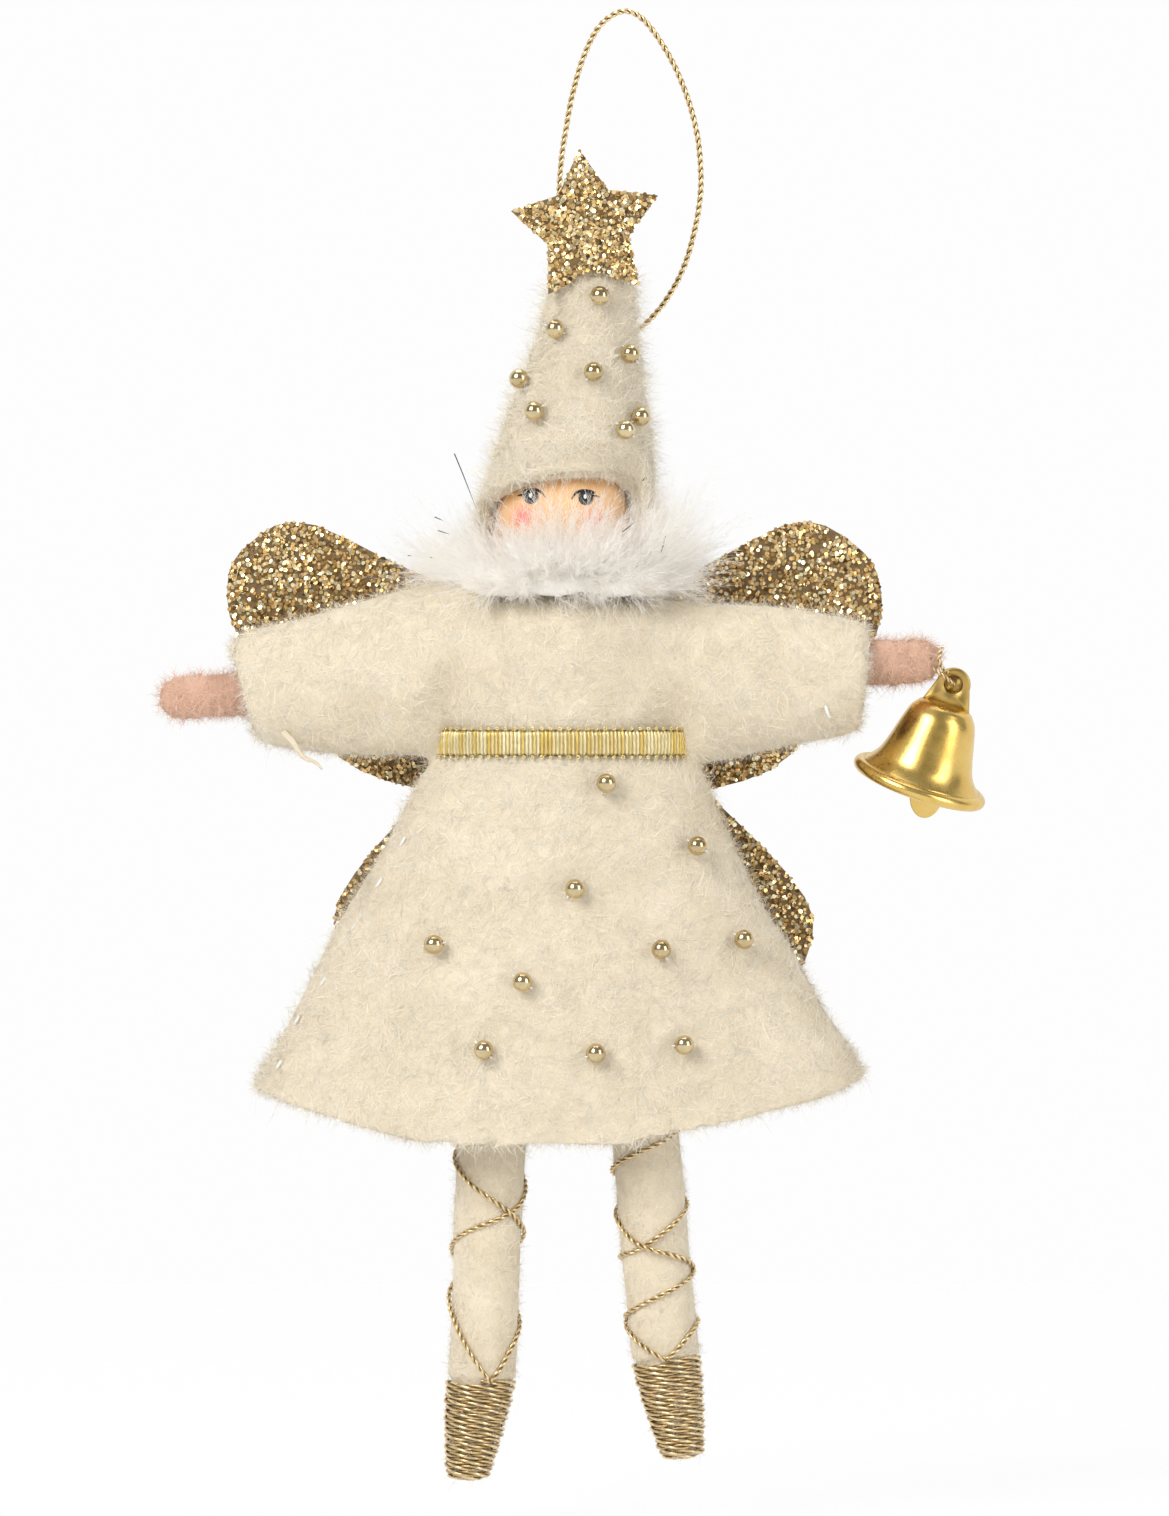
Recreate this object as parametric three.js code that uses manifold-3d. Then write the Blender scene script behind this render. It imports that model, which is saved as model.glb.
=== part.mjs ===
// Pixie doll ornament: a felt doll on a wire frame with card wings, a beaded hat, a bell in
// the right hand, gold cord shoes and a cord loop to hang by.
// Millimetres, +Z up, the doll faces -Y. The doll is laid out with its waist at the middle of
// its own group, and that group hangs from the inside of the loop's crest, the origin.

import * as THREE from 'three';
import { mergeVertices } from 'three/addons/utils/BufferGeometryUtils.js';
import Module from 'manifold-3d';

const wasm = await Module();
wasm.setup();

// Shared clearances and stock
const GAP = 0.3;                    // between any two pieces that touch
const FELT = 1.6;                   // felt thickness
const SEAM = 0.9;                   // extra felt in the side seams
const CARD = 1.3;                   // glitter card of the wings
const WIRE_RADIUS = 0.5;            // wire inside the limbs

// Tunic
const WAIST_HALF_WIDTH = 15.7;
const WAIST_FRONT = 8.6;
const BODY_BACK = 8.0;              // the back hangs almost flat
const CHEST_HALF_WIDTH = 14.6;
const SHOULDER_HEIGHT = 19.2;       // above the waist
const SKIRT_SIDE_DROP = 41.5;       // waist to the hem's corners
const HEM_DIP = 8.7;                // how much lower the hem hangs at the middle
const HEM_HALF_WIDTH = 38.0;
const HEM_FRONT = 13.6;
const HEM_BACK = 10.6;
const NECK_SHARE = 0.3;             // how far the shoulders close in toward the neck
const RING_POINTS = 32;

// Sleeves, measured from the waist's centre
const SLEEVE_ROOT_X = 9.5;
const SLEEVE_ROOT_HALF_HEIGHT = 10.0;
const SLEEVE_ROOT_HALF_DEPTH = 7.2;
const CUFF_HALF_DEPTH = 5.8;
const SLEEVE_ROOT_Z = 8.7;
const SLEEVE_POINTS = 22;
const SLEEVE_LEFT = { side: -1, cuffX: 38.6, cuffZ: 6.6, cuffHalfHeight: 6.7, lean: 0.10 };
const SLEEVE_RIGHT = { side: 1, cuffX: 37.4, cuffZ: 8.2, cuffHalfHeight: 7.3, lean: -0.08 };

// Belt ribbon
const BELT_WIDTH = 4.0;
const BELT_THICKNESS = 0.5;

// Head, hat and star
const HEAD_RADIUS = 8.75;
const HEAD_Z = 28.5;
const HAT_BOTTOM_Z = 26.4;
const HAT_BRIM_RADIUS = 11.3;
const HAT_HEIGHT = 33.8;
const HAT_TIP_RADIUS = 5.3;
const HAT_LEAN = 0.118;             // sideways shift per millimetre of height
const HAT_FOOT_X = 0.1;
const FACE_TOP_Z = 33.6;
const FACE_HALF_WIDTH = 8.1;
const FACE_CORNER = 3.8;
const STAR_RADIUS = 9.65;
const STAR_WAIST = 0.55;            // inner corners as a share of the points' radius
const STAR_THICKNESS = 1.5;
const STAR_CENTRE = { x: 3.0, z: 64.2 };
const STAR_TURN = 0.105;
const BEAD_RADIUS = 1.22;

// Collar of feathers
const COLLAR_RING_RADIUS = 10.6;
const COLLAR_TUBE_RADIUS = 4.3;
const COLLAR_TUBE_HALF_HEIGHT = 3.9;
const COLLAR_Z = 22.9;
const COLLAR_WIDEN = 1.22;          // wider than deep

// Torso and spine
const TORSO_EASE = 0.5;             // slack between the padding and the felt
const LIMB_SEAT = 1.0;              // how far a limb's ball stands out of its dish
const SPINE_RADIUS = 0.9;
const SPINE_REACH = 6.0;            // into the head and into the torso

// Arms
const SHOULDER_X = 9.0;
const SHOULDER_Z = 8.4;
const ARM_RADIUS = 3.2;
const HAND_TIP_RADIUS = 2.6;
const ARM_LEFT = { side: -1, length: 41.6, droop: 0.07 };
const ARM_RIGHT = { side: 1, length: 38.2, droop: -0.052 };

// Legs, shoes and laces
const HIP_X = 7.7;
const HIP_Y = -1.5;
const HIP_Z = -22.0;
const LEG_RADIUS = 4.2;
const LEG_POINTS = 18;
const SHOE_HEIGHT = 12.6;
const ANKLE_STEP = 0.2;             // slope from the leg to the foot
const ANKLE_RADIUS = 3.75;          // foot under the winding
const TOE_RADIUS = 2.1;
const SHOE_CORD = 0.65;
const SHOE_TURN_GAP = 0.46;
const LACE_CORD = 0.62;
const LEG_LEFT = { side: -1, ankle: 57.0, splay: 0.043, toeShift: -1.2, lacePitch: 21.0, laceRise: 32.0 };
const LEG_RIGHT = { side: 1, ankle: 54.6, splay: 0.093, toeShift: 1.0, lacePitch: 14.2, laceRise: 31.0 };
const LACE_START = 1.2;             // above the shoe's top turn

// Wings: one card, half outline from the middle, in the doll's frame
const WING_TOP = { x: 30.8, z: 27.8 };
const WING_CORNER = { x: 38.2, z: 25.0 };
const WING_OUTER = { x: 41.1, z: 20.0 };
const WING_SIDE = { x: 39.4, z: 12.0 };
const WING_LOW = { x: 28.0, z: -2.0 };
const WING_NOTCH = { x: 17.6, z: -6.0 };
const WING_LOBE = { x: 30.2, z: -22.0 };
const WING_FOOT = { x: 20.0, z: -34.0 };
const WING_RISE = { x: 16.0, z: 21.0 };
const WING_ROOT_TOP_Z = 17.0;
const WING_ROOT_FOOT_Z = -16.0;
const WING_SKEW = 0.06;                 // the upper lobes sit to the left of the lower ones

// Bell
const EAR_FROM_TIP = { x: 1.65, z: -3.085 };   // the hand's tip to the centre of the ear's hole
const BELL_EYE = {
  x: SHOULDER_X + ARM_RIGHT.length * Math.cos(ARM_RIGHT.droop) + EAR_FROM_TIP.x,
  z: SHOULDER_Z - ARM_RIGHT.length * Math.sin(ARM_RIGHT.droop) + EAR_FROM_TIP.z,
};
const BELL_LEAN = 0.33;                 // about Y, mouth toward the doll
const BELL_TIP = 0.20;                  // about X, mouth away from the viewer
const BELL_HEIGHT = 10.0;
const BELL_CROWN_RADIUS = 3.5;
const BELL_RIM_RADIUS = 8.2;
const BELL_WALL = 0.55;
const EAR_HOLE_RADIUS = 1.25;
const EAR_RING_RADIUS = 2.1;
const EAR_THICKNESS = 0.6;
const EAR_SHANK = 3.1;                  // hole centre to the crown's top
const EAR_SHOULDER_HALF_WIDTH = 2.4;
const EAR_TAB_HALF_WIDTH = 1.2;
const EAR_TAB_HOLE_RADIUS = 0.65;
const EAR_TAB_EDGE = 0.5;               // metal under the tab's hole
const EAR_TAB_DROP = 3.4;               // below the crown's top
const CLAPPER_RING_RADIUS = 1.1;
const CLAPPER_WIRE_RADIUS = 0.25;
const CLAPPER_LENGTH = 8.5;                // from its ring's centre
const CLAPPER_HALF_WIDTH = 1.75;
const CLAPPER_THICKNESS = 0.7;
const TIE_CORD = 0.6;
const TIE_RADIUS = 2.0;
const TIE_RISE = 0.68;                  // slope of the tie, from the ear up to the hand, in radians

// Hanger loop: hand-chosen points from the knot up the right side and down the left
const HANGER_CORD = 0.8;
const KNOT_RADIUS = 1.3;
const KNOT_Z = 49.8;
const KNOT_X = 4.3;
const HANGER_ROUTE = [
  [5.75, 8.5, 50.3], [7.9, 8.2, 51.1], [10.3, 7.7, 52.7], [12.8, 7.1, 55.5], [15.0, 6.3, 59.4],
  [16.4, 5.4, 63.9], [17.2, 4.5, 68.6], [17.2, 3.7, 72.8], [16.7, 2.9, 76.7], [15.6, 2.1, 80.7],
  [13.9, 1.3, 84.8], [11.6, 0.6, 88.6], [9.6, 0.1, 90.8], [7.75, 0.0, 91.5], [5.9, 0.1, 90.8],
  [4.1, 0.6, 89.0], [2.4, 1.4, 85.4], [1.2, 2.2, 81.3], [0.4, 3.1, 77.2], [-0.2, 4.0, 73.3],
  [-0.5, 5.2, 68.8], [-0.3, 6.5, 63.8], [0.5, 7.7, 58.6], [1.8, 8.4, 54.0], [3.5, 8.4, 51.2],
];
const [CREST_X, , CREST_TOP] = HANGER_ROUTE.reduce((best, p) => (p[2] > best[2] ? p : best));
const CREST = { x: CREST_X, z: CREST_TOP - HANGER_CORD / 2 };

// Beads sewn on: across and up from the waist's centre
const HAT_BEADS = [
  [4.6, 55.6], [-1.0, 51.5], [8.4, 48.4], [3.8, 46.1], [-5.5, 45.4], [-3.6, 41.2], [7.8, 38.9], [9.7, 40.6],
];
const DRESS_BEADS = [
  [5.4, -5.0], [16.7, -12.8], [1.5, -18.1], [-16.0, -25.0], [-5.0, -29.6], [12.2, -25.6], [22.5, -24.4],
  [-9.8, -38.0], [4.1, -38.4], [15.0, -37.4],
];

// Materials
function material(colour, roughness, metalness = 0) {
  return new THREE.MeshStandardMaterial({ color: colour, roughness, metalness });
}
const CREAM_FELT = material(0xf2e9cf, 0.95);
const WOOD = material(0xeec49a, 0.55);
const FEATHER = material(0xf7f4f0, 0.9);
const GLITTER = material(0xa8864a, 0.45, 0.7);
const RIBBON = material(0xdcc06a, 0.4, 0.6);
const GOLD_CORD = material(0xb39152, 0.45, 0.6);
const GOLD_BEAD = material(0xc9a45c, 0.25, 0.9);
const PINK_WOOL = material(0xe8bda6, 0.95);
const BRASS = material(0xc79a35, 0.22, 1.0);
const STEEL = material(0x9a9a98, 0.4, 1.0);

// Solids from geometry and back
function toSolid(geometry) {
  const bare = geometry.clone();
  bare.deleteAttribute('normal');
  bare.deleteAttribute('uv');
  const merged = mergeVertices(bare, 1e-4);
  const index = merged.index.array;
  const kept = [];
  for (let i = 0; i < index.length; i += 3) {
    const [a, b, c] = [index[i], index[i + 1], index[i + 2]];
    if (a !== b && b !== c && c !== a) kept.push(a, b, c);
  }
  return new wasm.Manifold(new wasm.Mesh({
    numProp: 3,
    vertProperties: new Float32Array(merged.attributes.position.array),
    triVerts: new Uint32Array(kept),
  }));
}

function toGeometry(solid) {
  const mesh = solid.getMesh();
  const geometry = new THREE.BufferGeometry();
  const count = mesh.vertProperties.length / mesh.numProp;
  const positions = new Float32Array(count * 3);
  for (let i = 0; i < count; i += 1) {
    for (let k = 0; k < 3; k += 1) positions[i * 3 + k] = mesh.vertProperties[i * mesh.numProp + k];
  }
  geometry.setAttribute('position', new THREE.BufferAttribute(positions, 3));
  geometry.setIndex(new THREE.BufferAttribute(new Uint32Array(mesh.triVerts), 1));
  geometry.computeVertexNormals();
  return geometry;
}

// A frame is a group that holds pieces at a place and an angle
function frameAt(x, y, z, turnX = 0, turnY = 0) {
  const frame = new THREE.Group();
  frame.rotation.set(turnX, turnY, 0, 'YXZ');
  frame.position.set(x, y, z);
  frame.updateMatrix();
  return frame;
}

function outOf(frame, geometry) {
  return geometry.clone().applyMatrix4(frame.matrix);
}

function into(frame, geometry) {
  return geometry.clone().applyMatrix4(frame.matrix.clone().invert());
}

function addPiece(parent, name, shape, look) {
  const geometry = shape.isBufferGeometry ? shape : toGeometry(shape);
  const mesh = new THREE.Mesh(geometry, look);
  mesh.name = name;
  parent.add(mesh);
  return mesh;
}

// A closed skin over rings of points, each ring as long as the first
function loft(rings) {
  const positions = [];
  const index = [];
  const n = rings[0].length;
  rings.forEach((ring) => ring.forEach((p) => positions.push(p.x, p.y, p.z)));
  for (let r = 0; r + 1 < rings.length; r += 1) {
    for (let i = 0; i < n; i += 1) {
      const a = r * n + i;
      const b = r * n + ((i + 1) % n);
      index.push(a, b, b + n, a, b + n, a + n);
    }
  }
  [0, rings.length - 1].forEach((r) => {
    const middle = new THREE.Vector3();
    rings[r].forEach((p) => middle.addScaledVector(p, 1 / n));
    const hub = positions.length / 3;
    positions.push(middle.x, middle.y, middle.z);
    for (let i = 0; i < n; i += 1) {
      const a = r * n + i;
      const b = r * n + ((i + 1) % n);
      if (r === 0) index.push(hub, b, a);
      else index.push(hub, a, b);
    }
  });
  if (enclosedVolume(positions, index) < 0) index.reverse();
  const geometry = new THREE.BufferGeometry();
  geometry.setAttribute('position', new THREE.Float32BufferAttribute(positions, 3));
  geometry.setIndex(index);
  geometry.computeVertexNormals();
  return geometry;
}

function enclosedVolume(positions, index) {
  const corner = (k) => new THREE.Vector3().fromArray(positions, index[k] * 3);
  let volume = 0;
  for (let i = 0; i < index.length; i += 3) {
    volume += corner(i).dot(corner(i + 1).cross(corner(i + 2))) / 6;
  }
  return volume;
}

// A turned piece from [radius, height] steps that begin and end on its axis
function turned(profile, segments) {
  const points = profile.map(([radius, height]) => new THREE.Vector2(radius, height));
  const geometry = new THREE.LatheGeometry(points, segments).rotateX(Math.PI / 2);
  const index = Array.from(geometry.index.array);
  if (enclosedVolume(geometry.attributes.position.array, index) < 0) geometry.setIndex(index.reverse());
  return geometry;
}

function rod(radius, fromZ, toZ, sides = 10) {
  return turned([[0, fromZ], [radius, fromZ], [radius, toZ], [0, toZ]], sides);
}

function ball(radius, x, y, z, across = 24, up = 14) {
  return new THREE.SphereGeometry(radius, across, up).rotateX(Math.PI / 2).translate(x, y, z);
}

// A plate cut to an outline in X and Z, from the nearer to the further y
function plate(outline, nearY, farY, curveSteps = 8) {
  const plain = new THREE.ExtrudeGeometry(outline, {
    depth: farY - nearY, bevelEnabled: false, curveSegments: curveSteps,
  });
  return plain.rotateX(Math.PI / 2).translate(0, farY, 0);
}

// A cord swept along points, with closed flat ends
function cordAlong(points, radius, sides) {
  const rings = points.map((point, i) => {
    const before = points[Math.max(i - 1, 0)];
    const after = points[Math.min(i + 1, points.length - 1)];
    const along = after.clone().sub(before).normalize();
    const out = new THREE.Vector3(point.x, point.y, 0).normalize();
    const side = new THREE.Vector3().crossVectors(along, out).normalize();
    const up = new THREE.Vector3().crossVectors(side, along);
    return Array.from({ length: sides }, (_, k) => {
      const angle = (2 * Math.PI * k) / sides;
      return point.clone()
        .addScaledVector(up, radius * Math.cos(angle))
        .addScaledVector(side, radius * Math.sin(angle));
    });
  });
  return loft(rings);
}

const smooth = (a, b, t) => {
  const s = Math.min(1, Math.max(0, (t - a) / (b - a)));
  return s * s * (3 - 2 * s);
};
const mix = (a, b, t) => a + (b - a) * t;

const doll = new THREE.Group();
doll.position.set(-CREST.x, 0, -CREST.z);

// Tunic: one section of the felt, with level 1 at the hem, 0 at the waist and -1 at the neck
function tunicRing(level, inset) {
  const skirt = Math.max(level, 0);
  const bodice = Math.max(-level, 0);
  const close = Math.cos(Math.max(0, (bodice - 0.55) / 0.45) * Math.acos(NECK_SHARE));
  const chest = mix(WAIST_HALF_WIDTH, CHEST_HALF_WIDTH, smooth(0, 0.4, bodice));
  const seam = inset > 0 ? SEAM : 0;
  const halfWidth = mix(chest, HEM_HALF_WIDTH, skirt) * close - inset - seam;
  const front = mix(WAIST_FRONT, HEM_FRONT, skirt) * close - inset;
  const back = mix(BODY_BACK, HEM_BACK, smooth(0.7, 1, skirt)) * close - inset;
  const height = bodice * (SHOULDER_HEIGHT - inset);
  return Array.from({ length: RING_POINTS }, (_, i) => {
    const angle = (2 * Math.PI * i) / RING_POINTS;
    const depth = Math.sin(angle);
    const drop = skirt * (SKIRT_SIDE_DROP + HEM_DIP * depth * depth);
    return new THREE.Vector3(
      halfWidth * Math.cos(angle), -depth * (depth > 0 ? front : back), height - drop,
    );
  });
}

const TUNIC_LEVELS = [-1, -0.95, -0.86, -0.74, -0.6, -0.4, -0.15, 0, 0.35, 0.7, 0.85, 1];

function tunicBody(inset, hemOverrun = 0) {
  const rings = TUNIC_LEVELS.map((level) => tunicRing(level, inset));
  if (hemOverrun > 0) {
    const last = rings[rings.length - 1];
    rings.push(last.map((p) => p.clone().add(new THREE.Vector3(0, 0, -hemOverrun))));
  }
  return loft(rings);
}

// Where the tunic's front lies at a point across and up, for what is sewn on it
function tunicFront(x, z) {
  const drop = -z / (SKIRT_SIDE_DROP + HEM_DIP);
  let level = drop;
  for (let pass = 0; pass < 8; pass += 1) {
    const across = x / mix(WAIST_HALF_WIDTH, HEM_HALF_WIDTH, level);
    level = -z / (SKIRT_SIDE_DROP + HEM_DIP * (1 - across * across));
  }
  const across = x / mix(WAIST_HALF_WIDTH, HEM_HALF_WIDTH, level);
  return -mix(WAIST_FRONT, HEM_FRONT, level) * Math.sqrt(1 - across * across);
}

// Sleeves: a felt tube from the shoulder to the cuff
function sleeveTube(sleeve, inset, overrun) {
  const steps = 6;
  const rings = [];
  for (let i = 0; i <= steps; i += 1) {
    const t = mix(-overrun, 1 + overrun, i / steps);
    const shape = smooth(-0.1, 0.75, t);
    const halfHeight = mix(SLEEVE_ROOT_HALF_HEIGHT, sleeve.cuffHalfHeight, shape) - inset;
    const halfDepth = mix(SLEEVE_ROOT_HALF_DEPTH, CUFF_HALF_DEPTH, shape) - inset;
    const z = mix(SLEEVE_ROOT_Z, sleeve.cuffZ, t);
    const x = sleeve.side * mix(SLEEVE_ROOT_X, sleeve.cuffX, t);
    rings.push(Array.from({ length: SLEEVE_POINTS }, (_, k) => {
      const angle = (2 * Math.PI * k) / SLEEVE_POINTS;
      const up = halfHeight * Math.cos(angle);
      return new THREE.Vector3(x + sleeve.lean * up * Math.max(t, 0), halfDepth * Math.sin(angle), z + up);
    }));
  }
  return loft(rings);
}

// Belt: a ribbon round the waist, one clearance off the felt
function waistBand(inset, halfHeight) {
  const rings = [-halfHeight, halfHeight].map((z) => tunicRing(0, inset).map(
    (p) => new THREE.Vector3(p.x, p.y, z),
  ));
  return loft(rings);
}

// The tunic flares below the waist, so the ribbon clears the flare as well
const BELT_EASE = GAP + (HEM_HALF_WIDTH - WAIST_HALF_WIDTH) * (BELT_WIDTH / 2 / SKIRT_SIDE_DROP);
const BELT_OUT = BELT_EASE + BELT_THICKNESS;
const beltInside = toSolid(waistBand(-BELT_EASE, BELT_WIDTH));
const belt = toSolid(waistBand(-BELT_OUT, BELT_WIDTH / 2)).subtract(beltInside);
const beltRoom = toSolid(waistBand(-BELT_OUT - GAP, BELT_WIDTH / 2 + GAP));

const tunicRoom = toSolid(tunicBody(-GAP));
const tunicHollow = toSolid(tunicBody(FELT, 3));
const neckHole = toSolid(rod(SPINE_RADIUS + GAP, SHOULDER_HEIGHT / 2, SHOULDER_HEIGHT + FELT));
let tunic = toSolid(tunicBody(0)).subtract(tunicHollow).subtract(neckHole);
[SLEEVE_LEFT, SLEEVE_RIGHT].forEach((sleeve) => {
  tunic = tunic.subtract(toSolid(sleeveTube(sleeve, FELT, 0.02)));
});
addPiece(doll, 'dress', tunic, CREAM_FELT);
addPiece(doll, 'belt', belt, RIBBON);

// Torso: padding under the tunic, with dishes for the limbs' balls
function torsoRing(level, halfWidth) {
  const felt = tunicRing(level, FELT + GAP + TORSO_EASE);
  const widest = felt[0].x;
  const share = Math.min(1, halfWidth / widest);
  return felt.filter((_, i) => i % 2 === 0).map((p) => new THREE.Vector3(p.x * share, p.y, p.z));
}

const CHEST_PAD = SHOULDER_X - LIMB_SEAT;
const WAIST_PAD = WAIST_HALF_WIDTH - FELT - SEAM - GAP - TORSO_EASE;
const hipLevel = -(HIP_Z + LIMB_SEAT) / (SKIRT_SIDE_DROP + HEM_DIP);
const torsoRings = [
  torsoRing(-0.82, CHEST_PAD * 0.7), torsoRing(-0.72, CHEST_PAD), torsoRing(-0.45, CHEST_PAD),
  torsoRing(-0.2, CHEST_PAD + 1), torsoRing(0, WAIST_PAD), torsoRing(hipLevel, WAIST_PAD),
];
torsoRings[torsoRings.length - 1].forEach((p) => { p.z = HIP_Z + LIMB_SEAT; });
let torso = toSolid(loft(torsoRings));
[-1, 1].forEach((side) => {
  torso = torso.subtract(toSolid(ball(ARM_RADIUS + GAP, side * SHOULDER_X, 0, SHOULDER_Z, 16, 10)));
  torso = torso.subtract(toSolid(ball(LEG_RADIUS + GAP, side * HIP_X, HIP_Y, HIP_Z, 16, 10)));
});
const torsoTopZ = torsoRings[0][0].z;
const headBottomZ = HEAD_Z - HEAD_RADIUS;
const spineFrom = torsoTopZ - SPINE_REACH;
const spineTo = headBottomZ + SPINE_REACH;
const spineBore = toSolid(rod(SPINE_RADIUS + GAP, spineFrom - GAP, spineTo + GAP));
addPiece(doll, 'torso', torso.subtract(spineBore), CREAM_FELT);
addPiece(doll, 'spine_wire', rod(SPINE_RADIUS, spineFrom, spineTo), STEEL);

// Head: a turned wooden ball, bored for the spine
const head = toSolid(ball(HEAD_RADIUS, 0, 0, HEAD_Z)).subtract(spineBore);
addPiece(doll, 'head', head, WOOD);

// Hat: a felt cone that leans, hollowed for the head and open for the face
function hatRadius(share) {
  const cone = mix(HAT_BRIM_RADIUS, HAT_TIP_RADIUS, smooth(-0.05, 0.98, share));
  const dome = Math.max(0, (share - 0.87) / 0.13);
  return cone * Math.sqrt(Math.max(0.03, 1 - dome * dome));
}
const hatCentreX = (share) => HAT_FOOT_X + HAT_LEAN * HAT_HEIGHT * share;
const HAT_LEVELS = [0, 0.2, 0.36, 0.52, 0.68, 0.8, 0.88, 0.94, 0.98, 1];
const HAT_POINTS = 28;

function hatBody(grow) {
  return loft(HAT_LEVELS.map((share) => Array.from({ length: HAT_POINTS }, (_, i) => {
    const angle = (2 * Math.PI * i) / HAT_POINTS;
    const radius = hatRadius(share) + grow;
    const stretch = grow * (share * 2 - 1);
    return new THREE.Vector3(
      hatCentreX(share) + radius * Math.cos(angle), radius * Math.sin(angle),
      HAT_BOTTOM_Z + HAT_HEIGHT * share + stretch,
    );
  })));
}

function faceOpening() {
  const outline = new THREE.Shape();
  outline.moveTo(-FACE_HALF_WIDTH, HAT_BOTTOM_Z - 2);
  outline.lineTo(-FACE_HALF_WIDTH, FACE_TOP_Z - FACE_CORNER);
  outline.quadraticCurveTo(-FACE_HALF_WIDTH, FACE_TOP_Z, -FACE_HALF_WIDTH + FACE_CORNER, FACE_TOP_Z);
  outline.lineTo(FACE_HALF_WIDTH - FACE_CORNER, FACE_TOP_Z);
  outline.quadraticCurveTo(FACE_HALF_WIDTH, FACE_TOP_Z, FACE_HALF_WIDTH, FACE_TOP_Z - FACE_CORNER);
  outline.lineTo(FACE_HALF_WIDTH, HAT_BOTTOM_Z - 2);
  outline.closePath();
  return plate(outline, -HAT_BRIM_RADIUS * 2, 0, 5);
}

const headRoom = toSolid(ball(HEAD_RADIUS + GAP, 0, 0, HEAD_Z));
const chinRoom = toSolid(rod(HEAD_RADIUS + GAP, HAT_BOTTOM_Z - 2, HEAD_Z, 28));
const hat = toSolid(hatBody(0)).subtract(headRoom).subtract(chinRoom).subtract(toSolid(faceOpening()));
addPiece(doll, 'hat', hat, CREAM_FELT);

// Collar of feathers round the neck, shaped by what it presses against
const collarProfile = Array.from({ length: 11 }, (_, i) => {
  const angle = (2 * Math.PI * i) / 10;
  return [
    COLLAR_RING_RADIUS + COLLAR_TUBE_RADIUS * Math.cos(angle),
    COLLAR_Z + COLLAR_TUBE_HALF_HEIGHT * Math.sin(angle),
  ];
});
const collarRing = turned(collarProfile, 28).scale(COLLAR_WIDEN, 1, 1);
const collar = toSolid(collarRing).subtract(headRoom).subtract(toSolid(hatBody(GAP))).subtract(tunicRoom);
addPiece(doll, 'feather_collar', collar, FEATHER);

// Where the hat's skin lies from its own leaning axis, for what sits on it
const hatShare = (z) => (z - HAT_BOTTOM_Z) / HAT_HEIGHT;
function hatDepth(x, z, standOff) {
  const reach = hatRadius(hatShare(z)) + standOff;
  const across = x - hatCentreX(hatShare(z));
  return Math.sqrt(Math.max(0, reach * reach - across * across));
}

// Star: a thick glitter card in front of the hat's tip
function starCorners() {
  return Array.from({ length: 10 }, (_, i) => {
    const angle = Math.PI / 2 + STAR_TURN + (i * Math.PI) / 5;
    const radius = i % 2 === 0 ? STAR_RADIUS : STAR_RADIUS * STAR_WAIST;
    return new THREE.Vector2(
      STAR_CENTRE.x + radius * Math.cos(angle), STAR_CENTRE.z + radius * Math.sin(angle),
    );
  });
}

function starSeat() {
  const outline = new THREE.Shape(starCorners()).getSpacedPoints(120);
  return Math.max(...outline.filter((p) => hatShare(p.y) < 1).map((p) => hatDepth(p.x, p.y, 0)));
}
const starBackY = -starSeat() - GAP;
addPiece(doll, 'star', plate(new THREE.Shape(starCorners()), starBackY - STAR_THICKNESS, starBackY), GLITTER);

// Beads sewn on the hat and on the skirt
function bead() {
  return new THREE.SphereGeometry(BEAD_RADIUS, 8, 6).rotateX(Math.PI / 2);
}

HAT_BEADS.forEach(([x, z], i) => {
  const y = -hatDepth(x, z, BEAD_RADIUS + GAP);
  addPiece(doll, `hat_bead_${i + 1}`, bead(), GOLD_BEAD).position.set(x, y, z);
});

DRESS_BEADS.forEach(([x, z], i) => {
  const step = 0.5;
  const slopeX = (tunicFront(x + step, z) - tunicFront(x - step, z)) / (2 * step);
  const slopeZ = (tunicFront(x, z + step) - tunicFront(x, z - step)) / (2 * step);
  const lift = (BEAD_RADIUS + GAP) * Math.sqrt(1 + slopeX * slopeX + slopeZ * slopeZ);
  addPiece(doll, `dress_bead_${i + 1}`, bead(), GOLD_BEAD).position.set(x, tunicFront(x, z) - lift, z);
});

// Hanger: a knot sewn to the hat's back and one cord from it, up and round to it again
const knotY = hatDepth(KNOT_X, KNOT_Z, KNOT_RADIUS + GAP);
addPiece(doll, 'hanger_knot', ball(KNOT_RADIUS, 0, 0, 0, 12, 8), GOLD_CORD).position.set(KNOT_X, knotY, KNOT_Z);

function roundSection(radius, sides) {
  return new THREE.Shape(Array.from({ length: sides }, (_, k) => {
    const angle = (2 * Math.PI * k) / sides;
    return new THREE.Vector2(radius * Math.cos(angle), radius * Math.sin(angle));
  }));
}
const hangerPath = new THREE.CatmullRomCurve3(HANGER_ROUTE.map((p) => new THREE.Vector3(...p)));
const hangerSteps = Math.round(hangerPath.getLength() / (3 * HANGER_CORD));
addPiece(doll, 'hanger_loop', new THREE.ExtrudeGeometry(roundSection(HANGER_CORD / 2, 8), {
  steps: hangerSteps, extrudePath: hangerPath,
}), GOLD_CORD);

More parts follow.
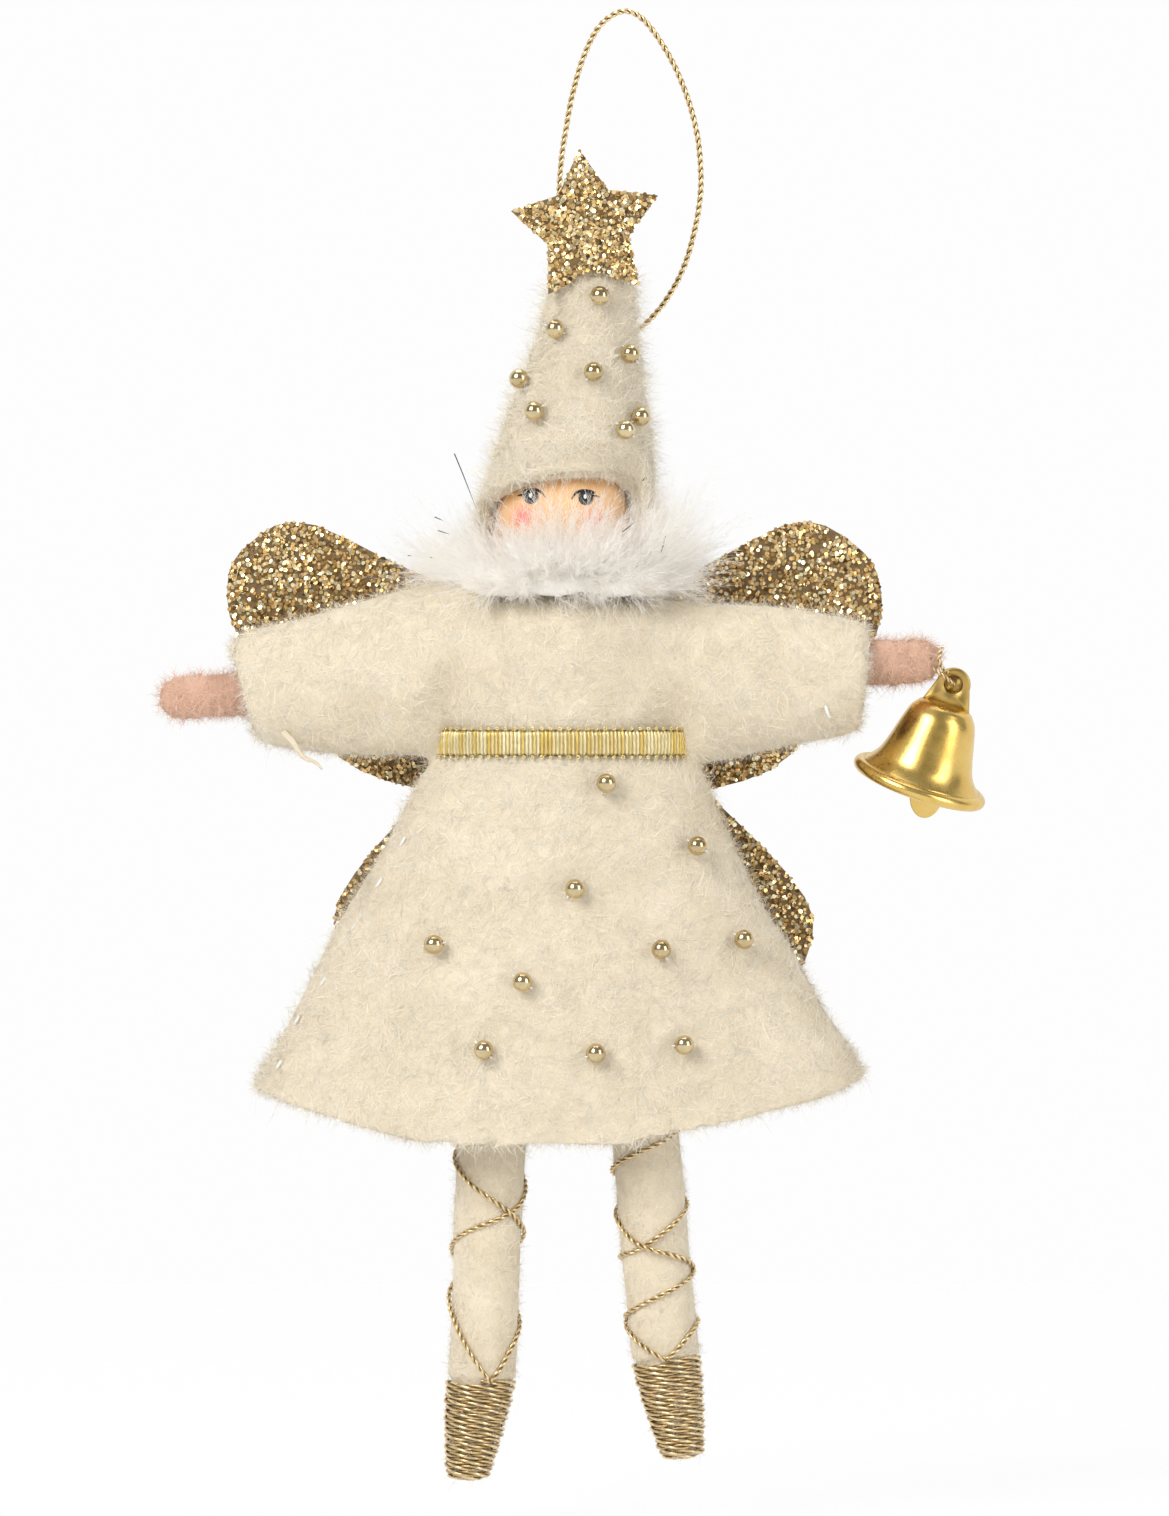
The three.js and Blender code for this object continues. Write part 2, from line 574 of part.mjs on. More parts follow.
// Wings: one card with two lobes a side, flat against the belt's back
function wingHalf() {
  const spot = (p) => new THREE.Vector2(p.x, p.z);
  const upper = new THREE.SplineCurve([
    new THREE.Vector2(0, WING_ROOT_TOP_Z), spot(WING_RISE), spot(WING_TOP), spot(WING_CORNER),
    spot(WING_OUTER), spot(WING_SIDE), spot(WING_LOW), spot(WING_NOTCH),
  ]).getPoints(26);
  const lower = new THREE.SplineCurve([
    spot(WING_NOTCH), spot(WING_LOBE), spot(WING_FOOT), new THREE.Vector2(0, WING_ROOT_FOOT_Z),
  ]).getPoints(18);
  return [...upper, ...lower.slice(1)];
}
const rightWing = wingHalf();
const leftWing = rightWing.slice(1, -1).reverse().map((p) => new THREE.Vector2(-p.x, p.y));
const wingOutline = [...rightWing, ...leftWing].map((p) => new THREE.Vector2(p.x - WING_SKEW * p.y, p.y));
const wingNearY = BODY_BACK + BELT_OUT + GAP;
addPiece(doll, 'wings', plate(
  new THREE.Shape(wingOutline), wingNearY, wingNearY + CARD,
), GLITTER);

// Arms: wool wound on a wire, with a ball at the shoulder and a rounded hand
function roundedEnd(radius, centre, direction, steps = 5) {
  return Array.from({ length: steps }, (_, i) => {
    const angle = ((i + 1) / steps) * (Math.PI / 2);
    return [radius * Math.cos(angle), centre + direction * radius * Math.sin(angle)];
  });
}

function limbStart(radius) {
  return roundedEnd(radius, 0, -1).reverse().map(([r, z]) => [Math.max(r, 0), z]);
}

function armFrame(arm) {
  return frameAt(arm.side * SHOULDER_X, 0, SHOULDER_Z, 0, arm.side * arm.droop);
}

function armBody(arm) {
  const handStart = arm.length * 0.8;
  const tipCentre = arm.length - HAND_TIP_RADIUS;
  const profile = [
    ...limbStart(ARM_RADIUS), [ARM_RADIUS, 0], [ARM_RADIUS * 0.97, handStart - 2],
    [ARM_RADIUS, handStart + 1], [HAND_TIP_RADIUS, tipCentre],
    ...roundedEnd(HAND_TIP_RADIUS, tipCentre, 1).map(([r, z], i, all) => [i === all.length - 1 ? 0 : r, z]),
  ];
  profile[0][0] = 0;
  return turned(profile, 16);
}

function addArm(arm, name) {
  const frame = armFrame(arm);
  const turn = (arm.side * Math.PI) / 2;
  const wireEnd = arm.length * 0.8;
  const wireStart = -ARM_RADIUS / 2;
  const bore = toSolid(rod(WIRE_RADIUS + GAP, -ARM_RADIUS * 2, wireEnd + GAP).rotateY(turn));
  let body = toSolid(armBody(arm).rotateY(turn)).subtract(bore);
  if (arm === ARM_RIGHT) body = body.subtract(toSolid(into(frame, tieRing(TIE_CORD / 2 + GAP))));
  addPiece(frame, `arm_${name}`, body, PINK_WOOL);
  addPiece(frame, `arm_wire_${name}`, rod(WIRE_RADIUS, wireStart, wireEnd).rotateY(turn), STEEL);
  doll.add(frame);
}

// Tie: a ring of thread through the bell's ear and the hand's tip
function tieRing(radius) {
  const reach = new THREE.Vector3(-Math.cos(TIE_RISE), 0, Math.sin(TIE_RISE)).multiplyScalar(TIE_RADIUS);
  return new THREE.TorusGeometry(TIE_RADIUS, radius, 6, 18)
    .rotateY(TIE_RISE)
    .translate(BELL_EYE.x + reach.x, 0, BELL_EYE.z + reach.z);
}

function addSleeve(sleeve, name) {
  const shape = toSolid(sleeveTube(sleeve, 0, 0))
    .subtract(toSolid(sleeveTube(sleeve, FELT, 0.2)))
    .subtract(tunicRoom)
    .subtract(beltRoom);
  addPiece(doll, `sleeve_${name}`, shape, CREAM_FELT);
}

addArm(ARM_LEFT, 'left');
addArm(ARM_RIGHT, 'right');
addSleeve(SLEEVE_LEFT, 'left');
addSleeve(SLEEVE_RIGHT, 'right');
addPiece(doll, 'bell_tie', tieRing(TIE_CORD / 2), GOLD_CORD);

// Legs: felt rolled on a wire, narrowed to a foot that points down inside its shoe
function footRadius(share) {
  return mix(ANKLE_RADIUS, TOE_RADIUS, share);
}

function legBody(leg) {
  const ring = (radius, x, z) => Array.from({ length: LEG_POINTS }, (_, k) => {
    const angle = (2 * Math.PI * k) / LEG_POINTS;
    return new THREE.Vector3(x + radius * Math.cos(angle), radius * Math.sin(angle), z);
  });
  const rings = [0.15, 0.35, 0.6, 0.82].map((share) => {
    const angle = (1 - share) * (Math.PI / 2);
    return ring(LEG_RADIUS * Math.cos(angle), 0, LEG_RADIUS * Math.sin(angle));
  });
  rings.push(ring(LEG_RADIUS, 0, 0), ring(LEG_RADIUS * 0.97, 0, -leg.ankle / 2), ring(LEG_RADIUS, 0, -leg.ankle));
  [0, 0.5, 1].forEach((share) => {
    const z = -leg.ankle - ANKLE_STEP - share * (SHOE_HEIGHT - ANKLE_STEP);
    rings.push(ring(footRadius(share), leg.toeShift * share, z));
  });
  return loft(rings);
}

const SHOE_PITCH = SHOE_CORD + SHOE_TURN_GAP;
const TURN_STEPS = 18;
function shoeWinding(leg) {
  const start = ANKLE_STEP + SHOE_CORD / 2;
  const run = SHOE_HEIGHT - start - SHOE_CORD / 2;
  const turns = Math.floor(run / SHOE_PITCH);
  const points = [];
  for (let i = 0; i <= turns * TURN_STEPS; i += 1) {
    const angle = -Math.PI / 2 + (2 * Math.PI * i) / TURN_STEPS;
    const depth = start + (SHOE_PITCH * i) / TURN_STEPS;
    const share = (depth - ANKLE_STEP) / (SHOE_HEIGHT - ANKLE_STEP);
    const radius = footRadius(share) + GAP + SHOE_CORD / 2;
    points.push(new THREE.Vector3(
      leg.toeShift * share + radius * Math.cos(angle), radius * Math.sin(angle), -leg.ankle - depth,
    ));
  }
  return points;
}

// Least clear distance of a winding to itself, over points more than half a turn apart
function leastGap(points, cord, apart) {
  let least = Infinity;
  for (let i = 0; i < points.length; i += 1) {
    for (let k = i + apart; k < points.length; k += 1) {
      least = Math.min(least, points[i].distanceTo(points[k]) - cord);
    }
  }
  return least;
}

// Laces: two cords that wind up the leg opposite ways, the second riding over the first
function lacePoints(leg, direction) {
  const steps = Math.round((leg.laceRise / leg.lacePitch) * TURN_STEPS);
  return Array.from({ length: steps + 1 }, (_, i) => {
    const turn = (2 * Math.PI * i) / TURN_STEPS;
    const over = direction < 0 ? (LACE_CORD + GAP) * Math.cos(turn) ** 4 : 0;
    const radius = LEG_RADIUS + GAP + LACE_CORD / 2 + over;
    const angle = -Math.PI / 2 + direction * turn;
    const rise = (leg.lacePitch * i) / TURN_STEPS;
    return new THREE.Vector3(
      radius * Math.cos(angle), radius * Math.sin(angle), -leg.ankle + LACE_START + rise,
    );
  });
}

function addLeg(leg, name) {
  const frame = frameAt(leg.side * HIP_X, HIP_Y, HIP_Z, 0, -leg.side * leg.splay);
  const wireStart = LEG_RADIUS / 2;
  const wireEnd = -leg.ankle - SHOE_HEIGHT / 2;
  const bore = toSolid(rod(WIRE_RADIUS + GAP, wireEnd - GAP, LEG_RADIUS * 2));
  addPiece(frame, `leg_${name}`, toSolid(legBody(leg)).subtract(bore), CREAM_FELT);
  addPiece(frame, `leg_wire_${name}`, rod(WIRE_RADIUS, wireEnd, wireStart), STEEL);
  const winding = shoeWinding(leg);
  addPiece(frame, `shoe_${name}`, cordAlong(winding, SHOE_CORD / 2, 5), GOLD_CORD);
  console.log(`shoe_${name} least gap ${leastGap(winding, SHOE_CORD, TURN_STEPS / 2).toFixed(3)} mm`);
  addPiece(frame, `lace_${name}_a`, cordAlong(lacePoints(leg, 1), LACE_CORD / 2, 5), GOLD_CORD);
  addPiece(frame, `lace_${name}_b`, cordAlong(lacePoints(leg, -1), LACE_CORD / 2, 5), GOLD_CORD);
  doll.add(frame);
}
addLeg(LEG_LEFT, 'left');
addLeg(LEG_RIGHT, 'right');

// Bell: a spun shell, a stamped ear through its crown, and a flat clapper on the ear's tab
const bellFrame = frameAt(BELL_EYE.x, 0, BELL_EYE.z, BELL_TIP, BELL_LEAN);
const crownZ = -EAR_SHANK;
// Steps down the bell's side, each with its share of the flare from the crown to the rim
const BELL_FLARE = [[0.0, 0.0], [0.12, 0.17], [0.34, 0.31], [0.58, 0.44], [0.76, 0.58], [0.89, 0.8], [0.96, 0.98], [1.0, 1.0]];

function bellProfile() {
  const skin = BELL_FLARE.map(([down, out]) => [
    mix(BELL_CROWN_RADIUS, BELL_RIM_RADIUS, out), crownZ - 0.3 - down * (BELL_HEIGHT - 0.3),
  ]);
  const inside = skin.slice(1).reverse().map(([r, z]) => [r - BELL_WALL * 1.1, z]);
  inside[0][0] = BELL_RIM_RADIUS - BELL_WALL * 1.1;
  return [
    [0, crownZ], [BELL_CROWN_RADIUS - 0.3, crownZ], ...skin, ...inside,
    [BELL_CROWN_RADIUS - BELL_WALL, crownZ - BELL_WALL - 0.2], [0, crownZ - BELL_WALL],
  ];
}

function earOutline() {
  const top = crownZ + GAP;
  const tabEnd = crownZ - EAR_TAB_DROP;
  const bend = Math.asin(0.75);
  const outline = new THREE.Shape();
  outline.moveTo(-EAR_TAB_HALF_WIDTH, tabEnd);
  outline.lineTo(EAR_TAB_HALF_WIDTH, tabEnd);
  outline.lineTo(EAR_TAB_HALF_WIDTH, top);
  outline.lineTo(EAR_SHOULDER_HALF_WIDTH, top);
  outline.lineTo(EAR_RING_RADIUS * Math.cos(bend), -EAR_RING_RADIUS * Math.sin(bend));
  outline.absarc(0, 0, EAR_RING_RADIUS, -bend, Math.PI + bend, false);
  outline.lineTo(-EAR_SHOULDER_HALF_WIDTH, top);
  outline.lineTo(-EAR_TAB_HALF_WIDTH, top);
  outline.closePath();
  outline.holes.push(new THREE.Path().absarc(0, 0, EAR_HOLE_RADIUS, 0, 2 * Math.PI, true));
  outline.holes.push(new THREE.Path().absarc(0, tabHoleZ, EAR_TAB_HOLE_RADIUS, 0, 2 * Math.PI, true));
  return outline;
}

const tabHoleZ = crownZ - EAR_TAB_DROP + EAR_TAB_EDGE + EAR_TAB_HOLE_RADIUS;
const slot = new THREE.BoxGeometry(2 * (EAR_TAB_HALF_WIDTH + GAP), EAR_THICKNESS + 2 * GAP, 4 * BELL_WALL);
const bellShell = toSolid(turned(bellProfile(), 24)).subtract(toSolid(slot.translate(0, 0, crownZ)));
addPiece(bellFrame, 'bell_shell', bellShell, BRASS);
addPiece(bellFrame, 'bell_ear', plate(earOutline(), -EAR_THICKNESS / 2, EAR_THICKNESS / 2, 10), BRASS);

// Clapper: a ring in the tab's hole, with a flat tongue that hangs past the rim
const clapperZ = tabHoleZ - CLAPPER_RING_RADIUS;
function clapperTongue() {
  const neck = CLAPPER_WIRE_RADIUS * 2;
  const outline = new THREE.Shape();
  outline.moveTo(-neck, -CLAPPER_RING_RADIUS);
  outline.lineTo(neck, -CLAPPER_RING_RADIUS);
  outline.lineTo(CLAPPER_HALF_WIDTH, -CLAPPER_LENGTH / 2);
  outline.lineTo(CLAPPER_HALF_WIDTH, CLAPPER_HALF_WIDTH - CLAPPER_LENGTH);
  outline.absarc(0, CLAPPER_HALF_WIDTH - CLAPPER_LENGTH, CLAPPER_HALF_WIDTH, 0, -Math.PI, true);
  outline.lineTo(-CLAPPER_HALF_WIDTH, -CLAPPER_LENGTH / 2);
  outline.closePath();
  return plate(outline, -CLAPPER_THICKNESS / 2, CLAPPER_THICKNESS / 2);
}
const clapperRing = new THREE.TorusGeometry(CLAPPER_RING_RADIUS, CLAPPER_WIRE_RADIUS, 8, 20).rotateY(Math.PI / 2);
const clapper = toSolid(clapperRing).add(toSolid(clapperTongue()));
addPiece(bellFrame, 'bell_clapper', clapper, BRASS).position.set(0, 0, clapperZ);
doll.add(bellFrame);

const ornament = new THREE.Group();
ornament.add(doll);

export default ornament;
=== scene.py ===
"""Pixie doll ornament: felt, feather, glitter card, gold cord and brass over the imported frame.

Sizes are millimetres in the doll's own frame (waist at the middle, facing -Y) and go to
metres in the row frame, whose origin is the inside of the hanger loop's crest.
"""
import math

import bpy
import bmesh
import numpy as np
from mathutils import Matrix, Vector, noise


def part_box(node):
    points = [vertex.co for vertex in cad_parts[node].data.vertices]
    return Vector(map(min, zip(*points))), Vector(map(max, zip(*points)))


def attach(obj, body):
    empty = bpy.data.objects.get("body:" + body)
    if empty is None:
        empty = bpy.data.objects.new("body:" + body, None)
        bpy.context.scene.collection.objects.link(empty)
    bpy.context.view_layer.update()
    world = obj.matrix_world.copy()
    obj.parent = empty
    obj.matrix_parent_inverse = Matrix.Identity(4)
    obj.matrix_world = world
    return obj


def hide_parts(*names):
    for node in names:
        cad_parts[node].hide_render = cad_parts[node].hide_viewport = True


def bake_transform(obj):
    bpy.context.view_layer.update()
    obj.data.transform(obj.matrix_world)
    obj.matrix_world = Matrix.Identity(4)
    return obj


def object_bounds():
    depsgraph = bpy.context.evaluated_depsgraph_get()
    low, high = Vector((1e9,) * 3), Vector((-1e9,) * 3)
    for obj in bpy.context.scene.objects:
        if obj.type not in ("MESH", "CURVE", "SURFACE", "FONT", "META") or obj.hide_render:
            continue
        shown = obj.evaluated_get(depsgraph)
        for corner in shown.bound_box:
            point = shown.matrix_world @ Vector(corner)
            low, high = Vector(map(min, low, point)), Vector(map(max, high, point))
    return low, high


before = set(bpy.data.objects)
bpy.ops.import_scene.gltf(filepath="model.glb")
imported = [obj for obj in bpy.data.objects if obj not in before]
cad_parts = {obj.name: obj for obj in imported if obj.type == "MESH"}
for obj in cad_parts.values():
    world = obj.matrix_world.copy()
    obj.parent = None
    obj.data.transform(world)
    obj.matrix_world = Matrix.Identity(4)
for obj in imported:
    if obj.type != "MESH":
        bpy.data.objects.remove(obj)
cad_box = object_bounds()
SEED = 7
rng = np.random.default_rng(SEED)

MM = 0.001
CREST = np.array([7.75, 0.0, 91.1])      # the row's origin, in the doll's frame
PHOTO_SIZE = (1169, 1516)
PHOTO_SCALE = 8.0                        # photograph pixels to the millimetre
WAIST_PIXEL = (563, 743)                 # the doll's own origin in the photograph
CAMERA_DISTANCE = 1.3                    # metres
WORLD_LIGHT = 0.3                        # what the world gives the object; the camera sees it white
LAMP_AIM = (-0.005, 0, -0.09)
LAMPS = {                                # place, size and power, in metres and watts
    "key": ((-0.55, -0.75, 0.45), (0.5, 0.6), 7.9),
    "fill": ((0.7, -0.55, 0.1), (0.35, 0.7), 2.9),
    "top": ((0.0, 0.1, 0.7), (0.6, 0.5), 2.2),
}
FLOOR_GAP = 0.006                        # between the toes and the floor, in metres
FLOOR_SHADE = 0.1                        # share of the floor that takes shadows
FLOOR_WHITE, WALL_WHITE = 1.005, 0.985
PAPER = (0.92, 0.92, 0.92, 1)


def row(points):
    """Points in the doll's frame, in millimetres, as metres in the row frame."""
    return (np.asarray(points, dtype=float) - CREST) * MM


def linked(name, data):
    """A new object in the scene."""
    obj = bpy.data.objects.new(name, data)
    bpy.context.collection.objects.link(obj)
    return obj


# Camera and stage
def add_camera():
    sensor = 36.0
    data = bpy.data.cameras.new("camera")
    data.sensor_fit = "VERTICAL"
    data.sensor_height = sensor
    view_height = PHOTO_SIZE[1] / PHOTO_SCALE * MM
    data.lens = sensor * CAMERA_DISTANCE / view_height
    data.clip_end = 10
    camera = linked("camera", data)
    centre_x = (PHOTO_SIZE[0] / 2 - WAIST_PIXEL[0]) / PHOTO_SCALE
    centre_z = (WAIST_PIXEL[1] - PHOTO_SIZE[1] / 2) / PHOTO_SCALE
    place = row([centre_x, 0, centre_z])
    camera.location = (place[0], -CAMERA_DISTANCE, place[2])
    camera.rotation_euler = (math.pi / 2, 0, 0)
    bpy.context.scene.camera = camera


def add_lamp(name, place, size, power):
    data = bpy.data.lights.new(name, "AREA")
    data.shape = "RECTANGLE"
    data.size, data.size_y = size
    data.energy = power
    lamp = linked(name, data)
    lamp.location = place
    lamp.rotation_euler = (Vector(LAMP_AIM) - Vector(place)).to_track_quat("-Z", "Y").to_euler()


def add_lights():
    for name, lamp in LAMPS.items():
        add_lamp(name, *lamp)
    world = bpy.data.worlds.new("studio")
    world.use_nodes = True
    nodes, links = world.node_tree.nodes, world.node_tree.links
    nodes["Background"].inputs["Color"].default_value = (1, 1, 1, 1)
    path = nodes.new("ShaderNodeLightPath")
    level = nodes.new("ShaderNodeMath")
    level.operation = "MULTIPLY_ADD"
    level.inputs[1].default_value = 1 - WORLD_LIGHT
    level.inputs[2].default_value = WORLD_LIGHT
    links.new(path.outputs["Is Camera Ray"], level.inputs[0])
    links.new(level.outputs[0], nodes["Background"].inputs["Strength"])
    bpy.context.scene.world = world


def backdrop_material(name, shadow_share, white):
    """White to the camera and in reflections, and clear from behind.

    A share of it takes shadows as paper does."""
    look = Nodes(name)
    paper = look.add("BsdfDiffuse", Color=PAPER)
    glow = look.add("Emission", Color=(white, white, white, 1))
    clear = look.add("BsdfTransparent")
    path, side = look.add("LightPath"), look.add("NewGeometry")
    seen, share = look.add("Math"), look.add("Math")
    seen.operation, share.operation = "MAXIMUM", "MULTIPLY"
    share.inputs[1].default_value = 1 - shadow_share
    mixed, facing = look.add("MixShader"), look.add("MixShader")
    for source, target in (
        (path.outputs["Is Camera Ray"], seen.inputs[0]),
        (path.outputs["Is Glossy Ray"], seen.inputs[1]),
        (seen.outputs[0], share.inputs[0]),
        (share.outputs[0], mixed.inputs["Fac"]),
        (paper.outputs[0], mixed.inputs[1]),
        (glow.outputs[0], mixed.inputs[2]),
        (side.outputs["Backfacing"], facing.inputs["Fac"]),
        (mixed.outputs[0], facing.inputs[1]),
        (clear.outputs[0], facing.inputs[2]),
        (facing.outputs[0], look.nodes["Material Output"].inputs["Surface"]),
    ):
        look.links.new(source, target)
    return look.material


def add_stage():
    floor_z = cad_box[0][2] - FLOOR_GAP
    wide, deep, far, high = 3.0, 2.5, 0.6, 2.5
    floor = mesh_object("floor", [
        (-wide, -deep, floor_z), (wide, -deep, floor_z), (wide, deep, floor_z), (-wide, deep, floor_z),
    ], [(0, 1, 2, 3)], backdrop_material("floor_paper", FLOOR_SHADE, FLOOR_WHITE))
    wall = mesh_object("backdrop", [
        (-wide, far, floor_z), (wide, far, floor_z), (wide, far, high), (-wide, far, high),
    ], [(0, 1, 2, 3)], backdrop_material("wall_paper", 0.0, WALL_WHITE))


# Numbers and paths
ODD_WAY = [0.31, 0.87, 0.38]             # a direction that no path here starts along


def smooth_step(a, b, t):
    s = np.clip((np.asarray(t, dtype=float) - a) / (b - a), 0, 1)
    return s * s * (3 - 2 * s)


def mix(a, b, t):
    return a + (b - a) * t


def unit(vectors, guard=0.0):
    """Rows of vectors brought to a length of 1; guard keeps a row of zeros from dividing by zero."""
    return vectors / (np.linalg.norm(vectors, axis=1)[:, None] + guard)


def round_angles(count):
    """Angles spread evenly over a full turn."""
    return np.linspace(0, 2 * np.pi, count, endpoint=False)


def run_along(path):
    """The length of a path up to each of its points."""
    return np.concatenate([[0], np.cumsum(np.linalg.norm(np.diff(path, axis=0), axis=1))])


def at_lengths(path, where):
    """The places on a path at these lengths along it."""
    run = run_along(path)
    return np.stack([np.interp(where, run, path[:, k]) for k in range(3)], axis=1)


# Meshes
def smooth_faces(mesh):
    mesh.polygons.foreach_set("use_smooth", [True] * len(mesh.polygons))


def mesh_object(name, points, faces, material=None, smooth=False):
    """A mesh from points in metres in the row frame."""
    mesh = bpy.data.meshes.new(name)
    mesh.from_pydata([tuple(p) for p in points], [], [tuple(f) for f in faces])
    mesh.update()
    if smooth:
        smooth_faces(mesh)
    if material:
        mesh.materials.append(material)
    return linked(name, mesh)


def grid_faces(rows, columns, closed=True):
    """Quads over rows of points, each row closing on itself if asked."""
    r = np.arange(rows - 1)[:, None]
    c = np.arange(columns if closed else columns - 1)[None, :]
    a = r * columns + c
    b = r * columns + (c + 1) % columns
    return np.stack([a, b, b + columns, a + columns], axis=-1).reshape(-1, 4)


def grid_object(name, grid, material, capped=False):
    """A smooth skin over a grid of points in the doll's frame, in millimetres."""
    rows, columns = grid.shape[:2]
    faces = [tuple(f) for f in grid_faces(rows, columns)]
    if capped:
        faces.append(tuple(range(columns))[::-1])
        faces.append(tuple(range((rows - 1) * columns, rows * columns)))
    obj = mesh_object(name, row(grid.reshape(-1, 3)), faces, material, smooth=True)
    outward(obj)
    return obj


def outward(obj):
    """Turns every face outward."""
    work = bmesh.new()
    work.from_mesh(obj.data)
    bmesh.ops.recalc_face_normals(work, faces=work.faces)
    work.to_mesh(obj.data)
    work.free()


def paint(obj, name, colours):
    """A colour for each point, for a material that reads it."""
    layer = obj.data.color_attributes.new(name, "FLOAT_COLOR", "POINT")
    rgba = np.ones((len(obj.data.vertices), 4), dtype=np.float32)
    rgba[:, :3] = colours
    layer.data.foreach_set("color", rgba.ravel())


def only_material(obj, material):
    obj.data.materials.clear()
    obj.data.materials.append(material)


def declare(obj, body, node=None):
    """The body that a piece rides, and the CAD node that it stands for, if any."""
    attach(obj, body)
    if node:
        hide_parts(node)
    return obj


def frames_along(path):
    """Side and up at each point of a path, turning as little as they can."""
    tangent = unit(np.gradient(np.asarray(path, dtype=float), axis=0))
    start = np.cross(tangent[0], ODD_WAY)
    side = [start / np.linalg.norm(start)]
    for t in tangent[1:]:
        s = side[-1] - t * np.dot(side[-1], t)
        side.append(s / np.linalg.norm(s))
    side = np.array(side)
    return side, np.cross(tangent, side)


def resample(path, step):
    """The same path with points about step apart."""
    path = np.asarray(path, dtype=float)
    length = run_along(path)[-1]
    count = max(2, int(round(length / step)) + 1)
    return at_lengths(path, np.linspace(0, length, count))


def spline(points, per_span=12):
    """A Catmull-Rom curve through points."""
    p = np.asarray(points, dtype=float)
    p = np.vstack([2 * p[0] - p[1], p, 2 * p[-1] - p[-2]])
    t = np.linspace(0, 1, per_span, endpoint=False)[:, None]
    out = []
    for i in range(1, len(p) - 2):
        a, b, c, d = p[i - 1 : i + 3]
        curve = 2 * b + (c - a) * t + (2 * a - 5 * b + 4 * c - d) * t**2 + (3 * b - a - 3 * c + d) * t**3
        out.append(0.5 * curve)
    out.append(p[-2][None, :])
    return np.vstack(out)


def tube_grid(path, radius, sides):
    """Rings of points round a path; radius may change along it."""
    side, up = frames_along(path)
    angle = round_angles(sides)
    radius = np.broadcast_to(radius, (len(path),))
    around = np.cos(angle)[None, :, None] * side[:, None, :] + np.sin(angle)[None, :, None] * up[:, None, :]
    return np.asarray(path)[:, None, :] + radius[:, None, None] * around


def joined(grids):
    """Points and faces of several tubes, each with closed ends."""
    points, faces, base = [], [], 0
    for grid in grids:
        rows, columns = grid.shape[:2]
        points.append(grid.reshape(-1, 3))
        faces.extend(tuple(f + base) for f in grid_faces(rows, columns))
        faces.append(tuple(range(base, base + columns))[::-1])
        faces.append(tuple(range(base + (rows - 1) * columns, base + rows * columns)))
        base += rows * columns
    return np.vstack(points), faces


def joined_object(name, grids, material):
    """Several tubes in the doll's frame, in millimetres, as one smooth piece."""
    points, faces = joined(grids)
    return mesh_object(name, row(points), faces, material, smooth=True)


# The cord's gold is painted lit on the strands' outer sides and painted shade in the grooves where they meet.
CORD_LIT = np.array([1.0, 0.80, 0.46])
CORD_SHADED = np.array([0.30, 0.18, 0.06])
CORD_STRANDS, STRAND_SIDES = 2, 6
STRAND_SWELL = 1.05                      # strands press into each other
STRAND_HIGHLIGHT = (0.55, 1.0)


def twisted_cord(name, path, diameter, lay, body, node=None, step=0.2):
    """A laid cord: strands wound round a path, in millimetres in the doll's frame."""
    path = resample(path, step)
    side, up = frames_along(path)
    run = run_along(path)
    strand_radius = diameter / (2 * (1 + 1 / math.sin(math.pi / CORD_STRANDS))) * STRAND_SWELL
    orbit = diameter / 2 - strand_radius
    grids, tones = [], []
    for k in range(CORD_STRANDS):
        angle = 2 * np.pi * (run / lay + k / CORD_STRANDS)
        away = np.cos(angle)[:, None] * side + np.sin(angle)[:, None] * up
        grid = tube_grid(path + orbit * away, strand_radius, STRAND_SIDES)
        outness = np.sum((grid - path[:, None, :]) * away[:, None, :], axis=2) / (diameter / 2)
        # Painted light: each strand painted lighter on its outer side and darker, as painted shade, in the
        # grooves, with the painted highlight stronger or weaker at random along the cord.
        painted_light = smooth_step(0.0, 0.95, outness) * rng.uniform(*STRAND_HIGHLIGHT, (len(path), 1))
        grids.append(grid)
        tones.append(mix(CORD_SHADED, CORD_LIT, painted_light[..., None]).reshape(-1, 3))
    obj = joined_object(name, grids, CORD_GOLD)
    paint(obj, "tone", np.vstack(tones))
    return declare(obj, body, node)


